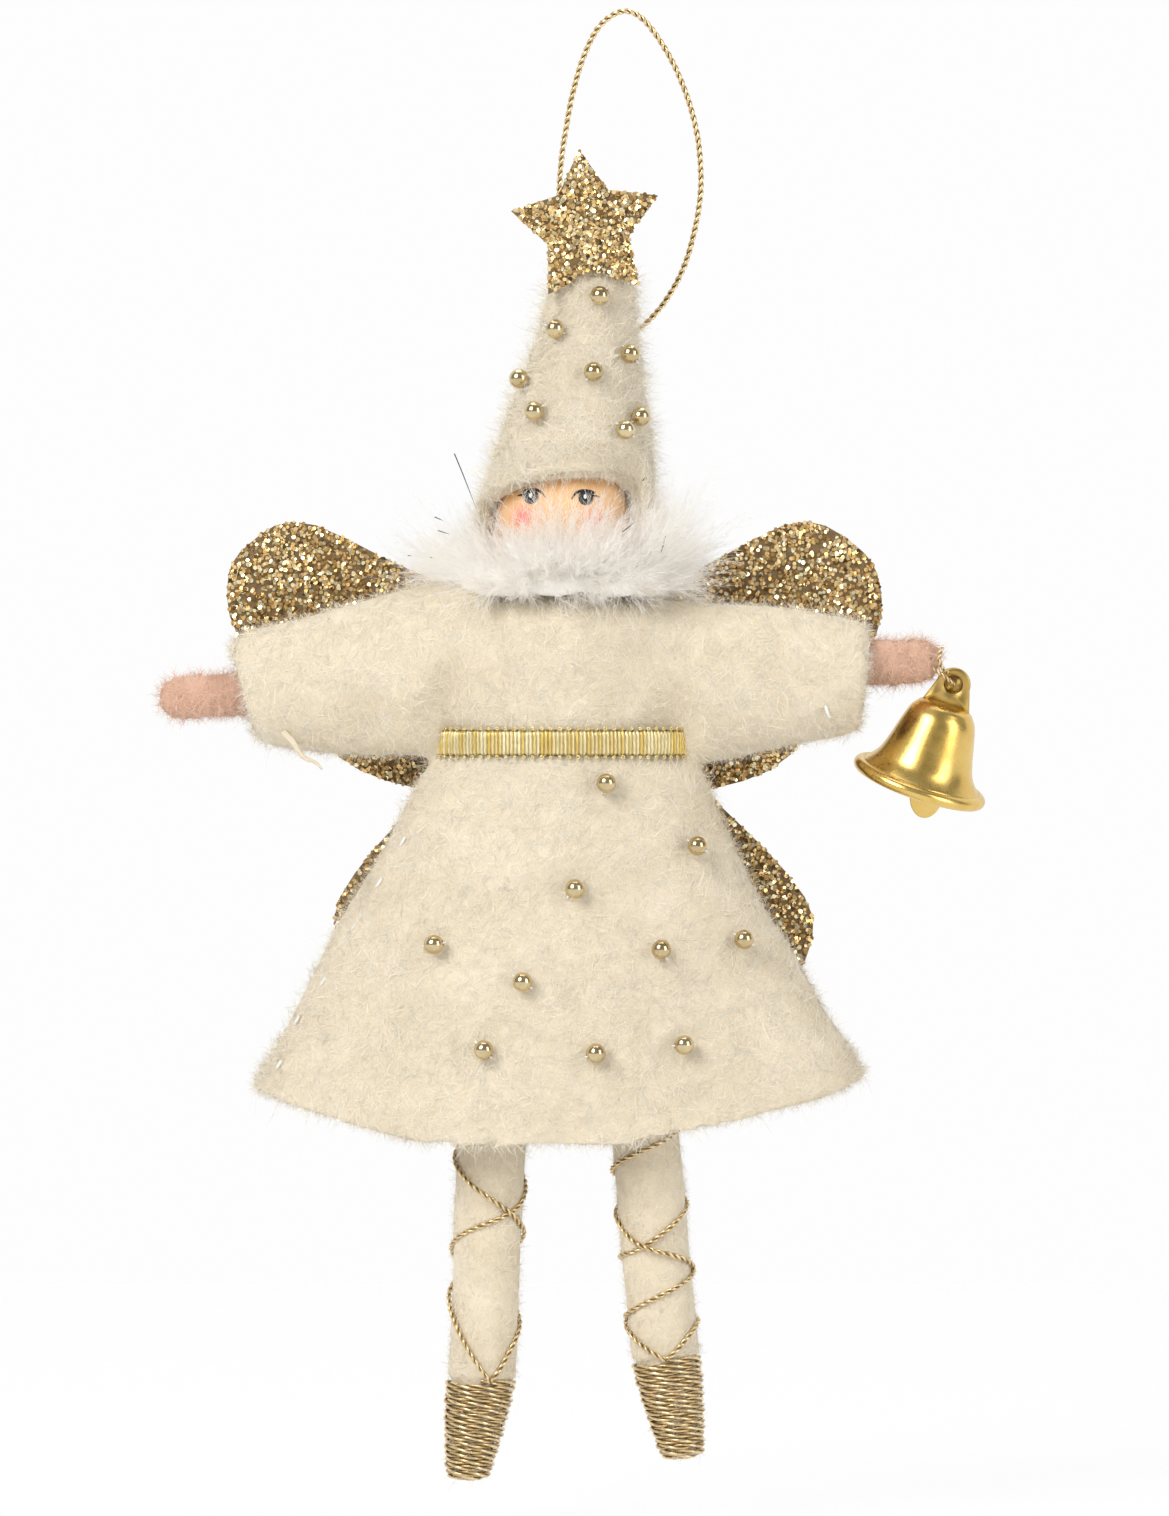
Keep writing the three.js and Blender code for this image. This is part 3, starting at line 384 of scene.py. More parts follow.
# Materials
class Nodes:
    """A material's node tree with short ways to add what most looks here share."""

    def __init__(self, name):
        self.material = bpy.data.materials.new(name)
        self.material.use_nodes = True
        self.nodes = self.material.node_tree.nodes
        self.links = self.material.node_tree.links
        self.shader = self.nodes["Principled BSDF"]
        self.place = self.add("TexCoord").outputs["Object"]

    def add(self, kind, **inputs):
        node = self.nodes.new(f"ShaderNode{kind}")
        for name, value in inputs.items():
            node.inputs[name.replace("_", " ")].default_value = value
        return node

    def set(self, **values):
        for name, value in values.items():
            self.shader.inputs[name.replace("_", " ")].default_value = value

    def noise(self, scale, detail=4.0, rough=0.6, distortion=0.0):
        node = self.add("TexNoise", Scale=scale, Detail=detail, Roughness=rough, Distortion=distortion)
        self.links.new(self.place, node.inputs["Vector"])
        return node.outputs["Fac"]

    def ramp(self, factor, stops):
        node = self.add("ValToRGB")
        while len(node.color_ramp.elements) < len(stops):
            node.color_ramp.elements.new(0.5)
        for element, (where, colour) in zip(node.color_ramp.elements, stops):
            element.position = where
            element.color = (*colour, 1)
        self.links.new(factor, node.inputs["Fac"])
        return node.outputs["Color"]

    def blend(self, factor, a, b, how="MIX"):
        node = self.add("Mix")
        node.data_type = "RGBA"
        node.blend_type = how
        for socket, value in ((node.inputs["Factor"], factor), (node.inputs[6], a), (node.inputs[7], b)):
            if isinstance(value, bpy.types.NodeSocket):
                self.links.new(value, socket)
            else:
                socket.default_value = value
        return node.outputs[2]

    def attribute(self, name):
        node = self.add("Attribute")
        node.attribute_name = name
        return node.outputs["Color"]

    def tinted(self, tint):
        """The colour of each point, times a tint."""
        return self.blend(1.0, self.attribute("tone"), (*tint, 1), "MULTIPLY")

    def span(self, factor, low, high):
        node = self.add("MapRange", To_Min=low, To_Max=high)
        self.links.new(factor, node.inputs["Value"])
        return node.outputs["Result"]

    def bump(self, height, strength, distance):
        node = self.add("Bump", Strength=strength, Distance=distance)
        self.links.new(height, node.inputs["Height"])
        self.links.new(node.outputs["Normal"], self.shader.inputs["Normal"])

    def colour(self, socket):
        self.links.new(socket, self.shader.inputs["Base Color"])

    def roughness(self, socket):
        self.links.new(socket, self.shader.inputs["Roughness"])


def felt_look(name, light, deep, grain=1400.0):
    look = Nodes(name)
    cloudy = look.noise(140.0, 5.0, 0.65, 0.6)
    matted = look.noise(grain, 6.0, 0.75, 1.5)
    soft = look.ramp(cloudy, [(0.3, deep), (0.7, light)])
    shade = look.ramp(matted, [(0.25, (0.84, 0.82, 0.77)), (0.6, (1.0, 1.0, 1.0))])
    look.colour(look.blend(0.8, soft, shade, "MULTIPLY"))
    look.roughness(look.span(matted, 0.85, 1.0))
    look.set(Sheen_Weight=0.25, Sheen_Roughness=0.6, Specular_IOR_Level=0.15)
    look.bump(matted, 0.4, 0.0003)
    return look.material


def fibre_look(name, tint):
    """Fibres coloured one by one, tinted by a slow mottle."""
    look = Nodes(name)
    mottle = look.ramp(look.noise(160.0, 4.0), [(0.3, (0.9, 0.88, 0.83)), (0.7, (1.0, 1.0, 1.0))])
    look.colour(look.blend(1.0, look.tinted(tint), mottle, "MULTIPLY"))
    look.roughness(look.span(look.noise(900.0), 0.75, 0.95))
    look.set(Specular_IOR_Level=0.2, Sheen_Weight=0.15)
    return look.material


DOWN_GLOW = 0.045                        # stands for the light that fine down scatters about
DOWN_THROUGH = 0.6                       # share of the light that passes a barb


def feather_look(name, tint):
    """Thin barbs that let much of the light through."""
    look = Nodes(name)
    mottle = look.ramp(look.noise(260.0, 3.0), [(0.3, (0.99, 0.985, 0.975)), (0.7, (1.0, 1.0, 1.0))])
    colour = look.blend(1.0, look.tinted(tint), mottle, "MULTIPLY")
    look.colour(colour)
    look.roughness(look.span(look.noise(900.0), 0.7, 0.9))
    look.set(Specular_IOR_Level=0.2, Emission_Color=(1.0, 0.93, 0.84, 1), Emission_Strength=DOWN_GLOW)
    through = look.add("BsdfTranslucent")
    look.links.new(colour, through.inputs["Color"])
    mixed = look.add("MixShader", Fac=DOWN_THROUGH)
    look.links.new(look.shader.outputs[0], mixed.inputs[1])
    look.links.new(through.outputs[0], mixed.inputs[2])
    look.links.new(mixed.outputs[0], look.nodes["Material Output"].inputs["Surface"])
    return look.material


def gold_thread_look(name, light, deep, rough=(0.25, 0.5), metal=0.85):
    look = Nodes(name)
    flecks = look.noise(1800.0, 3.0, 0.6)
    look.colour(look.ramp(flecks, [(0.3, deep), (0.62, light)]))
    look.roughness(look.span(look.noise(700.0, 2.0), *rough))
    look.set(Metallic=metal)
    look.bump(look.noise(5200.0, 2.0), 0.35, 0.0001)
    return look.material


def brass_look(name, light, deep, rough):
    look = Nodes(name)
    tarnish = look.noise(220.0, 5.0, 0.6, 0.4)
    look.colour(look.ramp(tarnish, [(0.35, deep), (0.65, light)]))
    look.roughness(look.span(look.noise(900.0, 4.0), *rough))
    look.set(Metallic=1.0)
    look.bump(look.noise(380.0, 3.0), 0.08, 0.0003)
    return look.material


def flake_look(name, metal=0.9, rough=(0.12, 0.38)):
    look = Nodes(name)
    look.colour(look.attribute("tone"))
    look.roughness(look.span(look.noise(1500.0, 2.0), *rough))
    look.set(Metallic=metal)
    return look.material


def card_look(name, front, core):
    """Glitter card: a dark glued face, with the paper core showing on the cut edge."""
    look = Nodes(name)
    geometry = look.add("NewGeometry")
    split = look.add("SeparateXYZ")
    look.links.new(geometry.outputs["Normal"], split.inputs[0])
    facing = look.add("Math")
    facing.operation = "ABSOLUTE"
    look.links.new(split.outputs["Y"], facing.inputs[0])
    grain = look.ramp(look.noise(1100.0, 5.0), [(0.35, tuple(0.55 * c for c in front)), (0.7, front)])
    edge = look.ramp(look.noise(1600.0, 4.0), [(0.3, tuple(0.8 * c for c in core)), (0.7, core)])
    look.colour(look.blend(facing.outputs[0], edge, grain))
    look.roughness(look.span(look.noise(800.0), 0.45, 0.8))
    look.bump(look.noise(1500.0, 4.0), 0.5, 0.0003)
    return look.material


def plain_look(name, light, deep, scale=600.0, rough=(0.4, 0.7), **values):
    look = Nodes(name)
    cloud = look.noise(scale, 4.0)
    look.colour(look.ramp(cloud, [(0.3, deep), (0.7, light)]))
    look.roughness(look.span(cloud, *rough))
    look.set(**values)
    look.bump(look.noise(scale * 3), 0.15, 0.0002)
    return look.material


CREAM = felt_look("cream_felt", (0.87, 0.77, 0.60), (0.77, 0.66, 0.48))
CREAM_FIBRE = fibre_look("cream_fibre", (1.0, 0.94, 0.815))
PINK = felt_look("pink_wool", (0.79, 0.51, 0.37), (0.60, 0.345, 0.235))
PINK_FIBRE = fibre_look("pink_fibre", (0.95, 0.68, 0.53))
FEATHER = feather_look("feather", (1.0, 0.988, 0.965))
DOWN = plain_look("down", (0.99, 0.97, 0.935), (0.96, 0.93, 0.885), 500.0, (0.8, 0.95))
RIBBON_GOLD = gold_thread_look("ribbon_gold", (0.95, 0.80, 0.38), (0.72, 0.52, 0.14), (0.22, 0.45), 0.75)
THREAD_WHITE = plain_look("thread_white", (0.95, 0.94, 0.90), (0.85, 0.83, 0.78), 1800.0, (0.6, 0.9))
BEAD_GOLD = brass_look("bead_gold", (0.74, 0.61, 0.37), (0.56, 0.43, 0.23), (0.12, 0.26))
BRASS = brass_look("bell_brass", (0.84, 0.60, 0.20), (0.72, 0.47, 0.12), (0.2, 0.36))
# A darker copy of the bell's brass for the ear: painted shade and dark reflection.
EAR_SHADED_BRASS = brass_look("ear_shaded_brass", (0.60, 0.41, 0.13), (0.42, 0.28, 0.08), (0.25, 0.42))
FLAKES = flake_look("glitter_flakes")
CORD_GOLD = flake_look("cord_gold", 0.8, (0.18, 0.42))
RIBS = flake_look("ribbon_ribs", 0.7, (0.25, 0.5))
CARD = card_look("glitter_card", (0.26, 0.16, 0.06), (0.66, 0.49, 0.25))
STEEL = plain_look("steel_wire", (0.55, 0.55, 0.54), (0.4, 0.4, 0.4), 900.0, (0.25, 0.5), Metallic=1.0)
PADDING = felt_look("padding", (0.90, 0.87, 0.79), (0.82, 0.78, 0.68), 900.0)


# Fibres: fine curved strips that lie on a surface or stand off it
FIBRE_DROOP = 0.35
RUMPLE_FINE = 1.1                        # size of the quick noise on soft pieces
TINY = 1e-9


def fibres(name, roots, normals, length, lift, width, material, curl, tone):
    """A mesh of strips rooted on points in millimetres.

    length, lift, width and tone are each the least and the most."""
    count = len(roots)
    normals = unit(normals)
    loose = rng.normal(size=(count, 3))
    tangent = unit(loose - normals * np.sum(loose * normals, axis=1)[:, None], TINY)
    side = np.cross(normals, tangent)
    angle = rng.uniform(*lift, count)[:, None]
    heading = np.cos(angle) * tangent + np.sin(angle) * normals
    reach = rng.uniform(*length, count)[:, None]
    bend = rng.normal(0, curl, count)[:, None] * side - FIBRE_DROOP * np.sin(angle) * normals
    half = rng.uniform(*width, count)[:, None] / 2
    shade = np.repeat(rng.uniform(*tone, count)[:, None], 3, axis=1)
    return strips(name, roots, heading, bend, reach, half, normals + 0.3 * side, material, shade)


def strips(name, roots, heading, bend, reach, half, facing, material, shade, steps=3):
    """Tapering strips that leave their roots along heading and turn by bend, each with its own colour."""
    rows = []
    for i in range(steps + 1):
        s = i / steps
        centre = roots + reach * (s * heading + 0.5 * s * s * bend)
        across = unit(np.cross(heading + s * bend, facing), TINY)
        thin = half * (1 - 0.75 * s * s)
        rows.append(np.stack([centre - thin * across, centre + thin * across], axis=1))
    count = len(roots)
    points = np.stack(rows, axis=1).reshape(-1, 3)
    base = (np.arange(count) * (steps + 1) * 2)[:, None, None]
    ladder = np.array([[2 * i, 2 * i + 1, 2 * i + 3, 2 * i + 2] for i in range(steps)])[None]
    faces = (base + ladder).reshape(-1, 4)
    obj = mesh_from_arrays(name, row(points), faces, material)
    paint(obj, "tone", np.repeat(shade, (steps + 1) * 2, axis=0))
    return obj


def mesh_from_arrays(name, points, faces, material):
    """A large mesh of quads or triangles, straight from arrays."""
    mesh = bpy.data.meshes.new(name)
    sides = faces.shape[1]
    mesh.vertices.add(len(points))
    mesh.vertices.foreach_set("co", np.asarray(points, dtype=np.float32).ravel())
    mesh.loops.add(faces.size)
    mesh.loops.foreach_set("vertex_index", faces.astype(np.int32).ravel())
    mesh.polygons.add(len(faces))
    mesh.polygons.foreach_set("loop_start", np.arange(0, faces.size, sides, dtype=np.int32))
    mesh.polygons.foreach_set("loop_total", np.full(len(faces), sides, dtype=np.int32))
    mesh.polygons.foreach_set("use_smooth", np.ones(len(faces), dtype=bool))
    mesh.update(calc_edges=True)
    mesh.validate()
    mesh.materials.append(material)
    return linked(name, mesh)


def surface_points(obj, count, keep=None):
    """Points and normals spread over a mesh by area, in millimetres in the doll's frame.

    keep takes face centres and normals and says which faces may be used."""
    mesh = obj.data
    mesh.calc_loop_triangles()
    corner = np.empty(len(mesh.vertices) * 3)
    mesh.vertices.foreach_get("co", corner)
    corner = corner.reshape(-1, 3) / MM + CREST
    tri = np.empty(len(mesh.loop_triangles) * 3, dtype=np.int32)
    mesh.loop_triangles.foreach_get("vertices", tri)
    tri = tri.reshape(-1, 3)
    a, b, c = corner[tri[:, 0]], corner[tri[:, 1]], corner[tri[:, 2]]
    normal = np.cross(b - a, c - a)
    area = np.linalg.norm(normal, axis=1)
    normal = normal / (area[:, None] + 1e-12)
    weight = area.copy()
    if keep is not None:
        weight *= keep((a + b + c) / 3, normal)
    pick = rng.choice(len(tri), size=count, p=weight / weight.sum())
    u, v = rng.random(count), rng.random(count)
    fold = u + v > 1
    u[fold], v[fold] = 1 - u[fold], 1 - v[fold]
    points = a[pick] + u[:, None] * (b[pick] - a[pick]) + v[:, None] * (c[pick] - a[pick])
    return points, normal[pick]


def points_and_normals(obj):
    points = np.array([v.co for v in obj.data.vertices])
    normals = np.array([v.normal for v in obj.data.vertices])
    return points, normals


def move_points(obj, points):
    """Moves a mesh's points, in metres in the row frame."""
    obj.data.vertices.foreach_set("co", points.astype(np.float32).ravel())
    obj.data.update()


def rumple(obj, soft, fine, soft_size=9.0):
    """Moves a mesh's points along their normals by a slow and a quick noise, in millimetres."""
    points, normals = points_and_normals(obj)
    slow = np.array([noise.noise(p) for p in points / (soft_size * MM)])
    quick = np.array([noise.noise(p) for p in points / (RUMPLE_FINE * MM)])
    move_points(obj, points + normals * ((slow * soft + quick * fine) * MM)[:, None])


# Hanger: one twisted cord from a knot on the hat's back, up, round and back to the knot
HANGER_DIAMETER, HANGER_LAY = 0.8, 1.9
KNOT_SIZE, KNOT_CORD = 0.3, 0.72
HANGER_ROUTE = [
    (5.75, 8.5, 50.3), (7.9, 8.2, 51.1), (10.3, 7.7, 52.7), (12.8, 7.1, 55.5), (15.0, 6.3, 59.4),
    (16.4, 5.4, 63.9), (17.2, 4.5, 68.6), (17.2, 3.7, 72.8), (16.7, 2.9, 76.7), (15.6, 2.1, 80.7),
    (13.9, 1.3, 84.8), (11.6, 0.6, 88.6), (9.6, 0.1, 90.8), (7.75, 0.0, 91.5), (5.9, 0.1, 90.8),
    (4.1, 0.6, 89.0), (2.4, 1.4, 85.4), (1.2, 2.2, 81.3), (0.4, 3.1, 77.2), (-0.2, 4.0, 73.3),
    (-0.5, 5.2, 68.8), (-0.3, 6.5, 63.8), (0.5, 7.7, 58.6), (1.8, 8.4, 54.0), (3.5, 8.4, 51.2),
]


def node_centre(node):
    """The middle of a CAD node, in millimetres in the doll's frame."""
    low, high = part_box(node)
    return (np.array(low) + np.array(high)) / 2 / MM + CREST


def add_hanger():
    path = spline(HANGER_ROUTE)
    cord = twisted_cord("hanger_cord", path, HANGER_DIAMETER, HANGER_LAY, "doll", "hanger_loop", 0.18)
    turn = np.linspace(0, 2 * np.pi, 90)
    trefoil = np.stack([
        np.sin(turn) + 2 * np.sin(2 * turn), -np.sin(3 * turn), np.cos(turn) - 2 * np.cos(2 * turn),
    ], axis=1) * KNOT_SIZE + node_centre("hanger_knot")
    twisted_cord("hanger_knot_tied", trefoil, KNOT_CORD, HANGER_LAY, "doll", "hanger_knot", 0.3)


# Tunic: body and sleeves cut in one from felt
FELT = 1.6
FELT_TONE = (0.74, 1.0)                  # fibres from dark to light
# The hat's fibres run lighter than the tunic's: painted light that makes up for the shade on the hat's
# downturned front.
HAT_LIT_TONE = (0.86, 1.0)
FELT_CURL = 0.9
SEAM = 0.9
WAIST_HALF_WIDTH, WAIST_FRONT, BODY_BACK = 15.7, 8.6, 8.0
CHEST_HALF_WIDTH, SHOULDER_HEIGHT, NECK_SHARE, NECK_CLOSE = 14.6, 19.2, 0.3, 0.74
SKIRT_SIDE_DROP, HEM_DIP = 41.5, 8.7
HEM_SAG = 1.4                            # the hem's left corner hangs lower
HEM_SPREAD = 0.9                         # and reaches farther out
SIDE_HOLLOW = 1.2                        # the skirt's right side falls in a hollow line
HEM_HALF_WIDTH, HEM_FRONT, HEM_BACK = 38.0, 13.6, 10.6
SLEEVE_ROOT_X, SLEEVE_ROOT_Z, SLEEVE_TAPER = 9.5, 8.7, 0.25
SLEEVE_HALF_DEPTH, CUFF_HALF_DEPTH = 7.2, 5.8
SLEEVES = {
    "left": {
        "side": -1, "root_z": 9.9, "half": 10.9,
        "cuff_x": 40.2, "cuff_z": 6.4, "cuff_half": 6.6, "lean": -0.26,
    },
    "right": {
        "side": 1, "root_z": 7.7, "half": 10.2,
        "cuff_x": 37.9, "cuff_z": 8.2, "cuff_half": 7.2, "lean": 0.08,
    },
}
CUFF_ROUND, CUFF_TUCK = 3.2, 0.2         # the cuff's edge turns in over its last millimetres
SPLIT_X = 17.4                           # where a sleeve parts from the body
SPLIT_Z = -2.9
WAIST_PULL = 0.07                        # share by which the belt draws the waist in
PULL_REACH = 3.2                         # up and down from the belt
PULL_SIDES = (16.0, 18.5)                # across, where the pull fades
FOLD_X, FOLD_Z, FOLD_SLOPE = 13.3, 8, 0.25
FOLD_WIDTH, FOLD_DEPTH = 2.8, 0.42
FOLD_FOOT, FOLD_TOP = (-5, 2), (16, 3)   # heights between which the fold fades
TUNIC_VOXEL, HOLLOW_VOXEL = 0.55, 0.7
HOLLOW_OVERRUN, SLEEVE_OVERRUN = 3.0, 0.06
TUNIC_NAPS = {                           # fibres, and the least and most of their length, lift and width
    "dress": (42000, (1.2, 3.0), (0.02, 0.22), (0.035, 0.075)),
    "dress_stray": (24000, (0.7, 2.2), (0.3, 1.2), (0.03, 0.055)),
    "dress_long": (1600, (2.0, 4.6), (0.3, 1.1), (0.02, 0.034)),
    "dress_rim": (7000, (0.6, 1.8), (0.1, 1.2), (0.03, 0.06)),
}


def tunic_ring(level, inset):
    """A section of the tunic, with level 1 at the hem, 0 at the waist and -1 at the neck."""
    skirt, bodice = max(level, 0), max(-level, 0)
    angle = round_angles(96)
    close = math.cos(max(0, (bodice - NECK_CLOSE) / (1 - NECK_CLOSE)) * math.acos(NECK_SHARE))
    chest = mix(WAIST_HALF_WIDTH, CHEST_HALF_WIDTH, float(smooth_step(0, 0.4, bodice)))
    half_width = mix(chest, HEM_HALF_WIDTH, skirt) * close - inset - (SEAM if inset > 0 else 0)
    lean = HEM_SPREAD * skirt**2 * smooth_step(0, 1, -np.cos(angle))
    lean += SIDE_HOLLOW * math.sin(math.pi * skirt) * smooth_step(0, 1, np.cos(angle))
    front = mix(WAIST_FRONT, HEM_FRONT, skirt) * close - inset
    back = mix(BODY_BACK, HEM_BACK, float(smooth_step(0.7, 1, skirt))) * close - inset
    depth = np.sin(angle)
    sag = HEM_SAG * skirt**2 * smooth_step(-0.3, 0.9, -np.cos(angle))
    drop = skirt * (SKIRT_SIDE_DROP + HEM_DIP * depth**2) + sag
    return np.stack([
        half_width * np.cos(angle) - lean,
        -depth * np.where(depth > 0, front, back),
        bodice * (SHOULDER_HEIGHT - inset) - drop,
    ], axis=1)


def tunic_grid(inset, overrun=0.0):
    levels = np.concatenate([np.linspace(-1, -0.55, 22), np.linspace(-0.5, 0, 8), np.linspace(0.06, 1, 20)])
    rings = [tunic_ring(level, inset) for level in levels]
    if overrun:
        rings.append(rings[-1] - [0, 0, overrun])
    return np.array(rings)


def sleeve_grid(sleeve, inset, overrun=0.0):
    angle = round_angles(64)
    rings = []
    length = sleeve["cuff_x"] - SLEEVE_ROOT_X
    for t in np.concatenate([np.linspace(-overrun, 0.9, 30), np.linspace(0.92, 1 + overrun, 8)]):
        shape = max(0.0, (t - SLEEVE_TAPER) / (1 - SLEEVE_TAPER))
        turn = min(1.0, max(0.0, 1 - (1 - t) * length / CUFF_ROUND))
        tuck = 1 if inset > 0 else 1 - CUFF_TUCK * (1 - math.sqrt(1 - turn**2))
        up = (mix(sleeve["half"], sleeve["cuff_half"], shape) * tuck - inset) * np.cos(angle)
        out = (mix(SLEEVE_HALF_DEPTH, CUFF_HALF_DEPTH, shape) * tuck - inset) * np.sin(angle)
        x = sleeve["side"] * mix(SLEEVE_ROOT_X, sleeve["cuff_x"], t)
        z = mix(sleeve["root_z"], sleeve["cuff_z"], t)
        rings.append(np.stack([x + sleeve["lean"] * up * max(t, 0), out, z + up], axis=1))
    return np.array(rings)


def with_modifiers(obj):
    """A new mesh of obj with its modifiers applied; obj itself goes."""
    graph = bpy.context.evaluated_depsgraph_get()
    mesh = bpy.data.meshes.new_from_object(obj.evaluated_get(graph))
    name = obj.name
    bpy.data.objects.remove(obj)
    return linked(name, mesh)


def melted(obj, voxel, passes):
    """obj as one closed skin with its edges eased."""
    remesh = obj.modifiers.new("melt", "REMESH")
    remesh.mode = "VOXEL"
    remesh.voxel_size = voxel * MM
    ease = obj.modifiers.new("ease", "SMOOTH")
    ease.factor = 0.5
    ease.iterations = passes
    return with_modifiers(obj)


def fused(name, grids, voxel, passes):
    """One closed skin round several closed skins."""
    points, faces = joined(grids)
    obj = mesh_object(name, row(points), faces)
    outward(obj)
    return melted(obj, voxel, passes)


def cut_away(obj, tool):
    """obj less tool; tool goes."""
    cut = obj.modifiers.new("cut", "BOOLEAN")
    cut.operation = "DIFFERENCE"
    cut.solver = "EXACT"
    cut.object = tool
    fresh = with_modifiers(obj)
    bpy.data.objects.remove(tool)
    return fresh


def is_sleeve(side, centres):
    return (side * centres[:, 0] > SPLIT_X) & (centres[:, 2] > SPLIT_Z)


def part_of(name, wanted, normals, points, faces):
    """The wanted faces of a mesh as their own object, with the whole mesh's normals kept at the cut."""
    chosen = [f for f, ok in zip(faces, wanted) if ok]
    used = sorted({v for f in chosen for v in f})
    index = {v: i for i, v in enumerate(used)}
    obj = mesh_object(name, points[used], [[index[v] for v in f] for f in chosen], CREAM, smooth=True)
    close_cuts(obj)
    obj.data.normals_split_custom_set_from_vertices([tuple(normals[v]) for v in used])
    return obj


def close_cuts(obj):
    """Joins the outer and inner rim of each cut, so that the felt is a closed sheet."""
    work = bmesh.new()
    work.from_mesh(obj.data)
    middle = row([0, 0, 0])[0]
    for side in (-1, 1):
        rims = [e for e in work.edges if e.is_boundary and (e.verts[0].co.x - middle) * side > 0]
        if rims:
            bmesh.ops.bridge_loops(work, edges=rims)
    work.to_mesh(obj.data)
    work.free()


def blend_sleeve(obj):
    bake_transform(obj)


def end_faces(centres, normals, steep, hem_z, cuff_x):
    """Faces at the ends of the hem and the cuffs that look down or sideways by at least steep."""
    hem = (normals[:, 2] < -steep) & (centres[:, 2] < hem_z)
    cuff = (np.abs(normals[:, 0]) > steep) & (np.abs(centres[:, 0]) > cuff_x)
    return hem | cuff


def keep_outside(centres, normals):
    """Faces of the tunic's outer skin, without the flat ends of the hem, the cuffs and the neck."""
    neck = (normals[:, 2] > 0.8) & (np.hypot(centres[:, 0], centres[:, 1]) < 4)
    return ~(end_faces(centres, normals, 0.8, -36, 36) | neck)


def keep_rim(centres, normals):
    """The cut edges of the hem and the cuffs."""
    return end_faces(centres, normals, 0.6, -38, 35)


def shape_felt(obj):
    """Draws the waist in under the belt, and folds a soft valley where each sleeve leaves the body."""
    points = points_and_normals(obj)[0] / MM + CREST
    x, y, z = points.T
    near_body = 1 - smooth_step(*PULL_SIDES, np.abs(x))
    pull = 1 - WAIST_PULL * np.exp(-((z / PULL_REACH) ** 2)) * near_body
    fold_x = FOLD_X - FOLD_SLOPE * (z - FOLD_Z)
    valley = np.exp(-(((np.abs(x) - fold_x) / FOLD_WIDTH) ** 2))
    valley = valley * smooth_step(*FOLD_FOOT, z) * smooth_step(*FOLD_TOP, z)
    y = y * pull * (1 - FOLD_DEPTH * valley)
    move_points(obj, row(np.stack([x * pull, y, z], axis=1)))


def add_tunic():
    sleeves = SLEEVES.values()
    outer = [tunic_grid(0.0)] + [sleeve_grid(s, 0.0) for s in sleeves]
    inner = [tunic_grid(FELT, HOLLOW_OVERRUN)] + [sleeve_grid(s, FELT, SLEEVE_OVERRUN) for s in sleeves]
    whole = fused("tunic", outer, TUNIC_VOXEL, 8)
    shape_felt(whole)
    rumple(whole, 0.6, 0.08, 11.0)
    spreads = {}
    for name in ("dress", "dress_stray", "dress_long"):
        spreads[name] = surface_points(whole, TUNIC_NAPS[name][0], keep_outside)
    hollow = fused("tunic_hollow", inner, HOLLOW_VOXEL, 4)
    shape_felt(hollow)
    whole = cut_away(whole, hollow)
    smooth_faces(whole.data)
    whole.data.update()
    points, normals = points_and_normals(whole)
    faces = [tuple(p.vertices) for p in whole.data.polygons]
    centres = np.array([p.center for p in whole.data.polygons]) / MM + CREST
    spreads["dress_rim"] = surface_points(whole, TUNIC_NAPS["dress_rim"][0], keep_rim)
    bpy.data.objects.remove(whole)
    left, right = is_sleeve(-1, centres), is_sleeve(1, centres)
    body = part_of("dress_felt", ~(left | right), normals, points, faces)
    declare(body, "doll", "dress")
    pieces = {}
    for name, chosen in (("left", left), ("right", right)):
        pieces[name] = part_of(f"sleeve_{name}_felt", chosen, normals, points, faces)
        blend_sleeve(pieces[name])
        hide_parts(f"sleeve_{name}")
    for name, (_, *ranges) in TUNIC_NAPS.items():
        add_nap(name, *spreads[name], *ranges)
    return body, pieces


def add_nap(name, roots, normals, length, lift, width):
    """Felt fibres over the tunic, with those on each sleeve as a piece of their own."""
    left, right = is_sleeve(-1, roots), is_sleeve(1, roots)
    for part, chosen in (("body", ~(left | right)), ("left", left), ("right", right)):
        nap = fibres(f"{name}_nap_{part}", roots[chosen], normals[chosen], length, lift, width, CREAM_FIBRE,
                     FELT_CURL, FELT_TONE)
        if part == "body":
            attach(nap, "doll")
        else:
            blend_sleeve(nap)


# Hat: a felt cone whose lower edge rises round the face
HEAD_RADIUS, HEAD_Z = 8.75, 28.5
HAT_BOTTOM, HAT_HEIGHT, HAT_LEAN, HAT_FOOT_X = 26.4, 33.8, 0.118, 0.1
BRIM_RADIUS, TIP_RADIUS = 11.3, 5.3
FACE_EDGE = [                            # the opening's edge as it lies on the head, across and up
    (-8.3, 26.4), (-8.2, 30.2), (-7.2, 31.5), (-3.9, 33.1), (0.3, 33.7),
    (4.7, 33.8), (7.0, 33.2), (7.8, 31.8), (8.0, 26.4),
]
FACE_EASE, FACE_REACH = 0.4, 4.0         # the felt hugs the head round the opening
RIM_SCATTER = 0.25
HAT_NAPS = {                             # fibres, and the least and most of their length, lift and width
    "hat_nap": (14000, (1.1, 2.8), (0.03, 0.3), (0.035, 0.075)),
    "hat_stray_nap": (9000, (1.0, 3.7), (0.35, 1.3), (0.028, 0.055)),
    "hat_rim_nap": (5200, (0.5, 1.45), (0.2, 1.3), (0.03, 0.06)),
}


def hat_radius(share):
    dome = np.maximum(0, (share - 0.87) / 0.13)
    cone = mix(BRIM_RADIUS, TIP_RADIUS, smooth_step(-0.05, 0.98, share))
    return cone * np.sqrt(np.maximum(0.03, 1 - dome**2))


def face_edge(x):
    across, height = np.array(FACE_EDGE).T
    return np.interp(x, across, height)


def hat_edge(angle):
    return np.where(np.sin(angle) > 0, face_edge(HEAD_RADIUS * np.cos(angle)), HAT_BOTTOM)


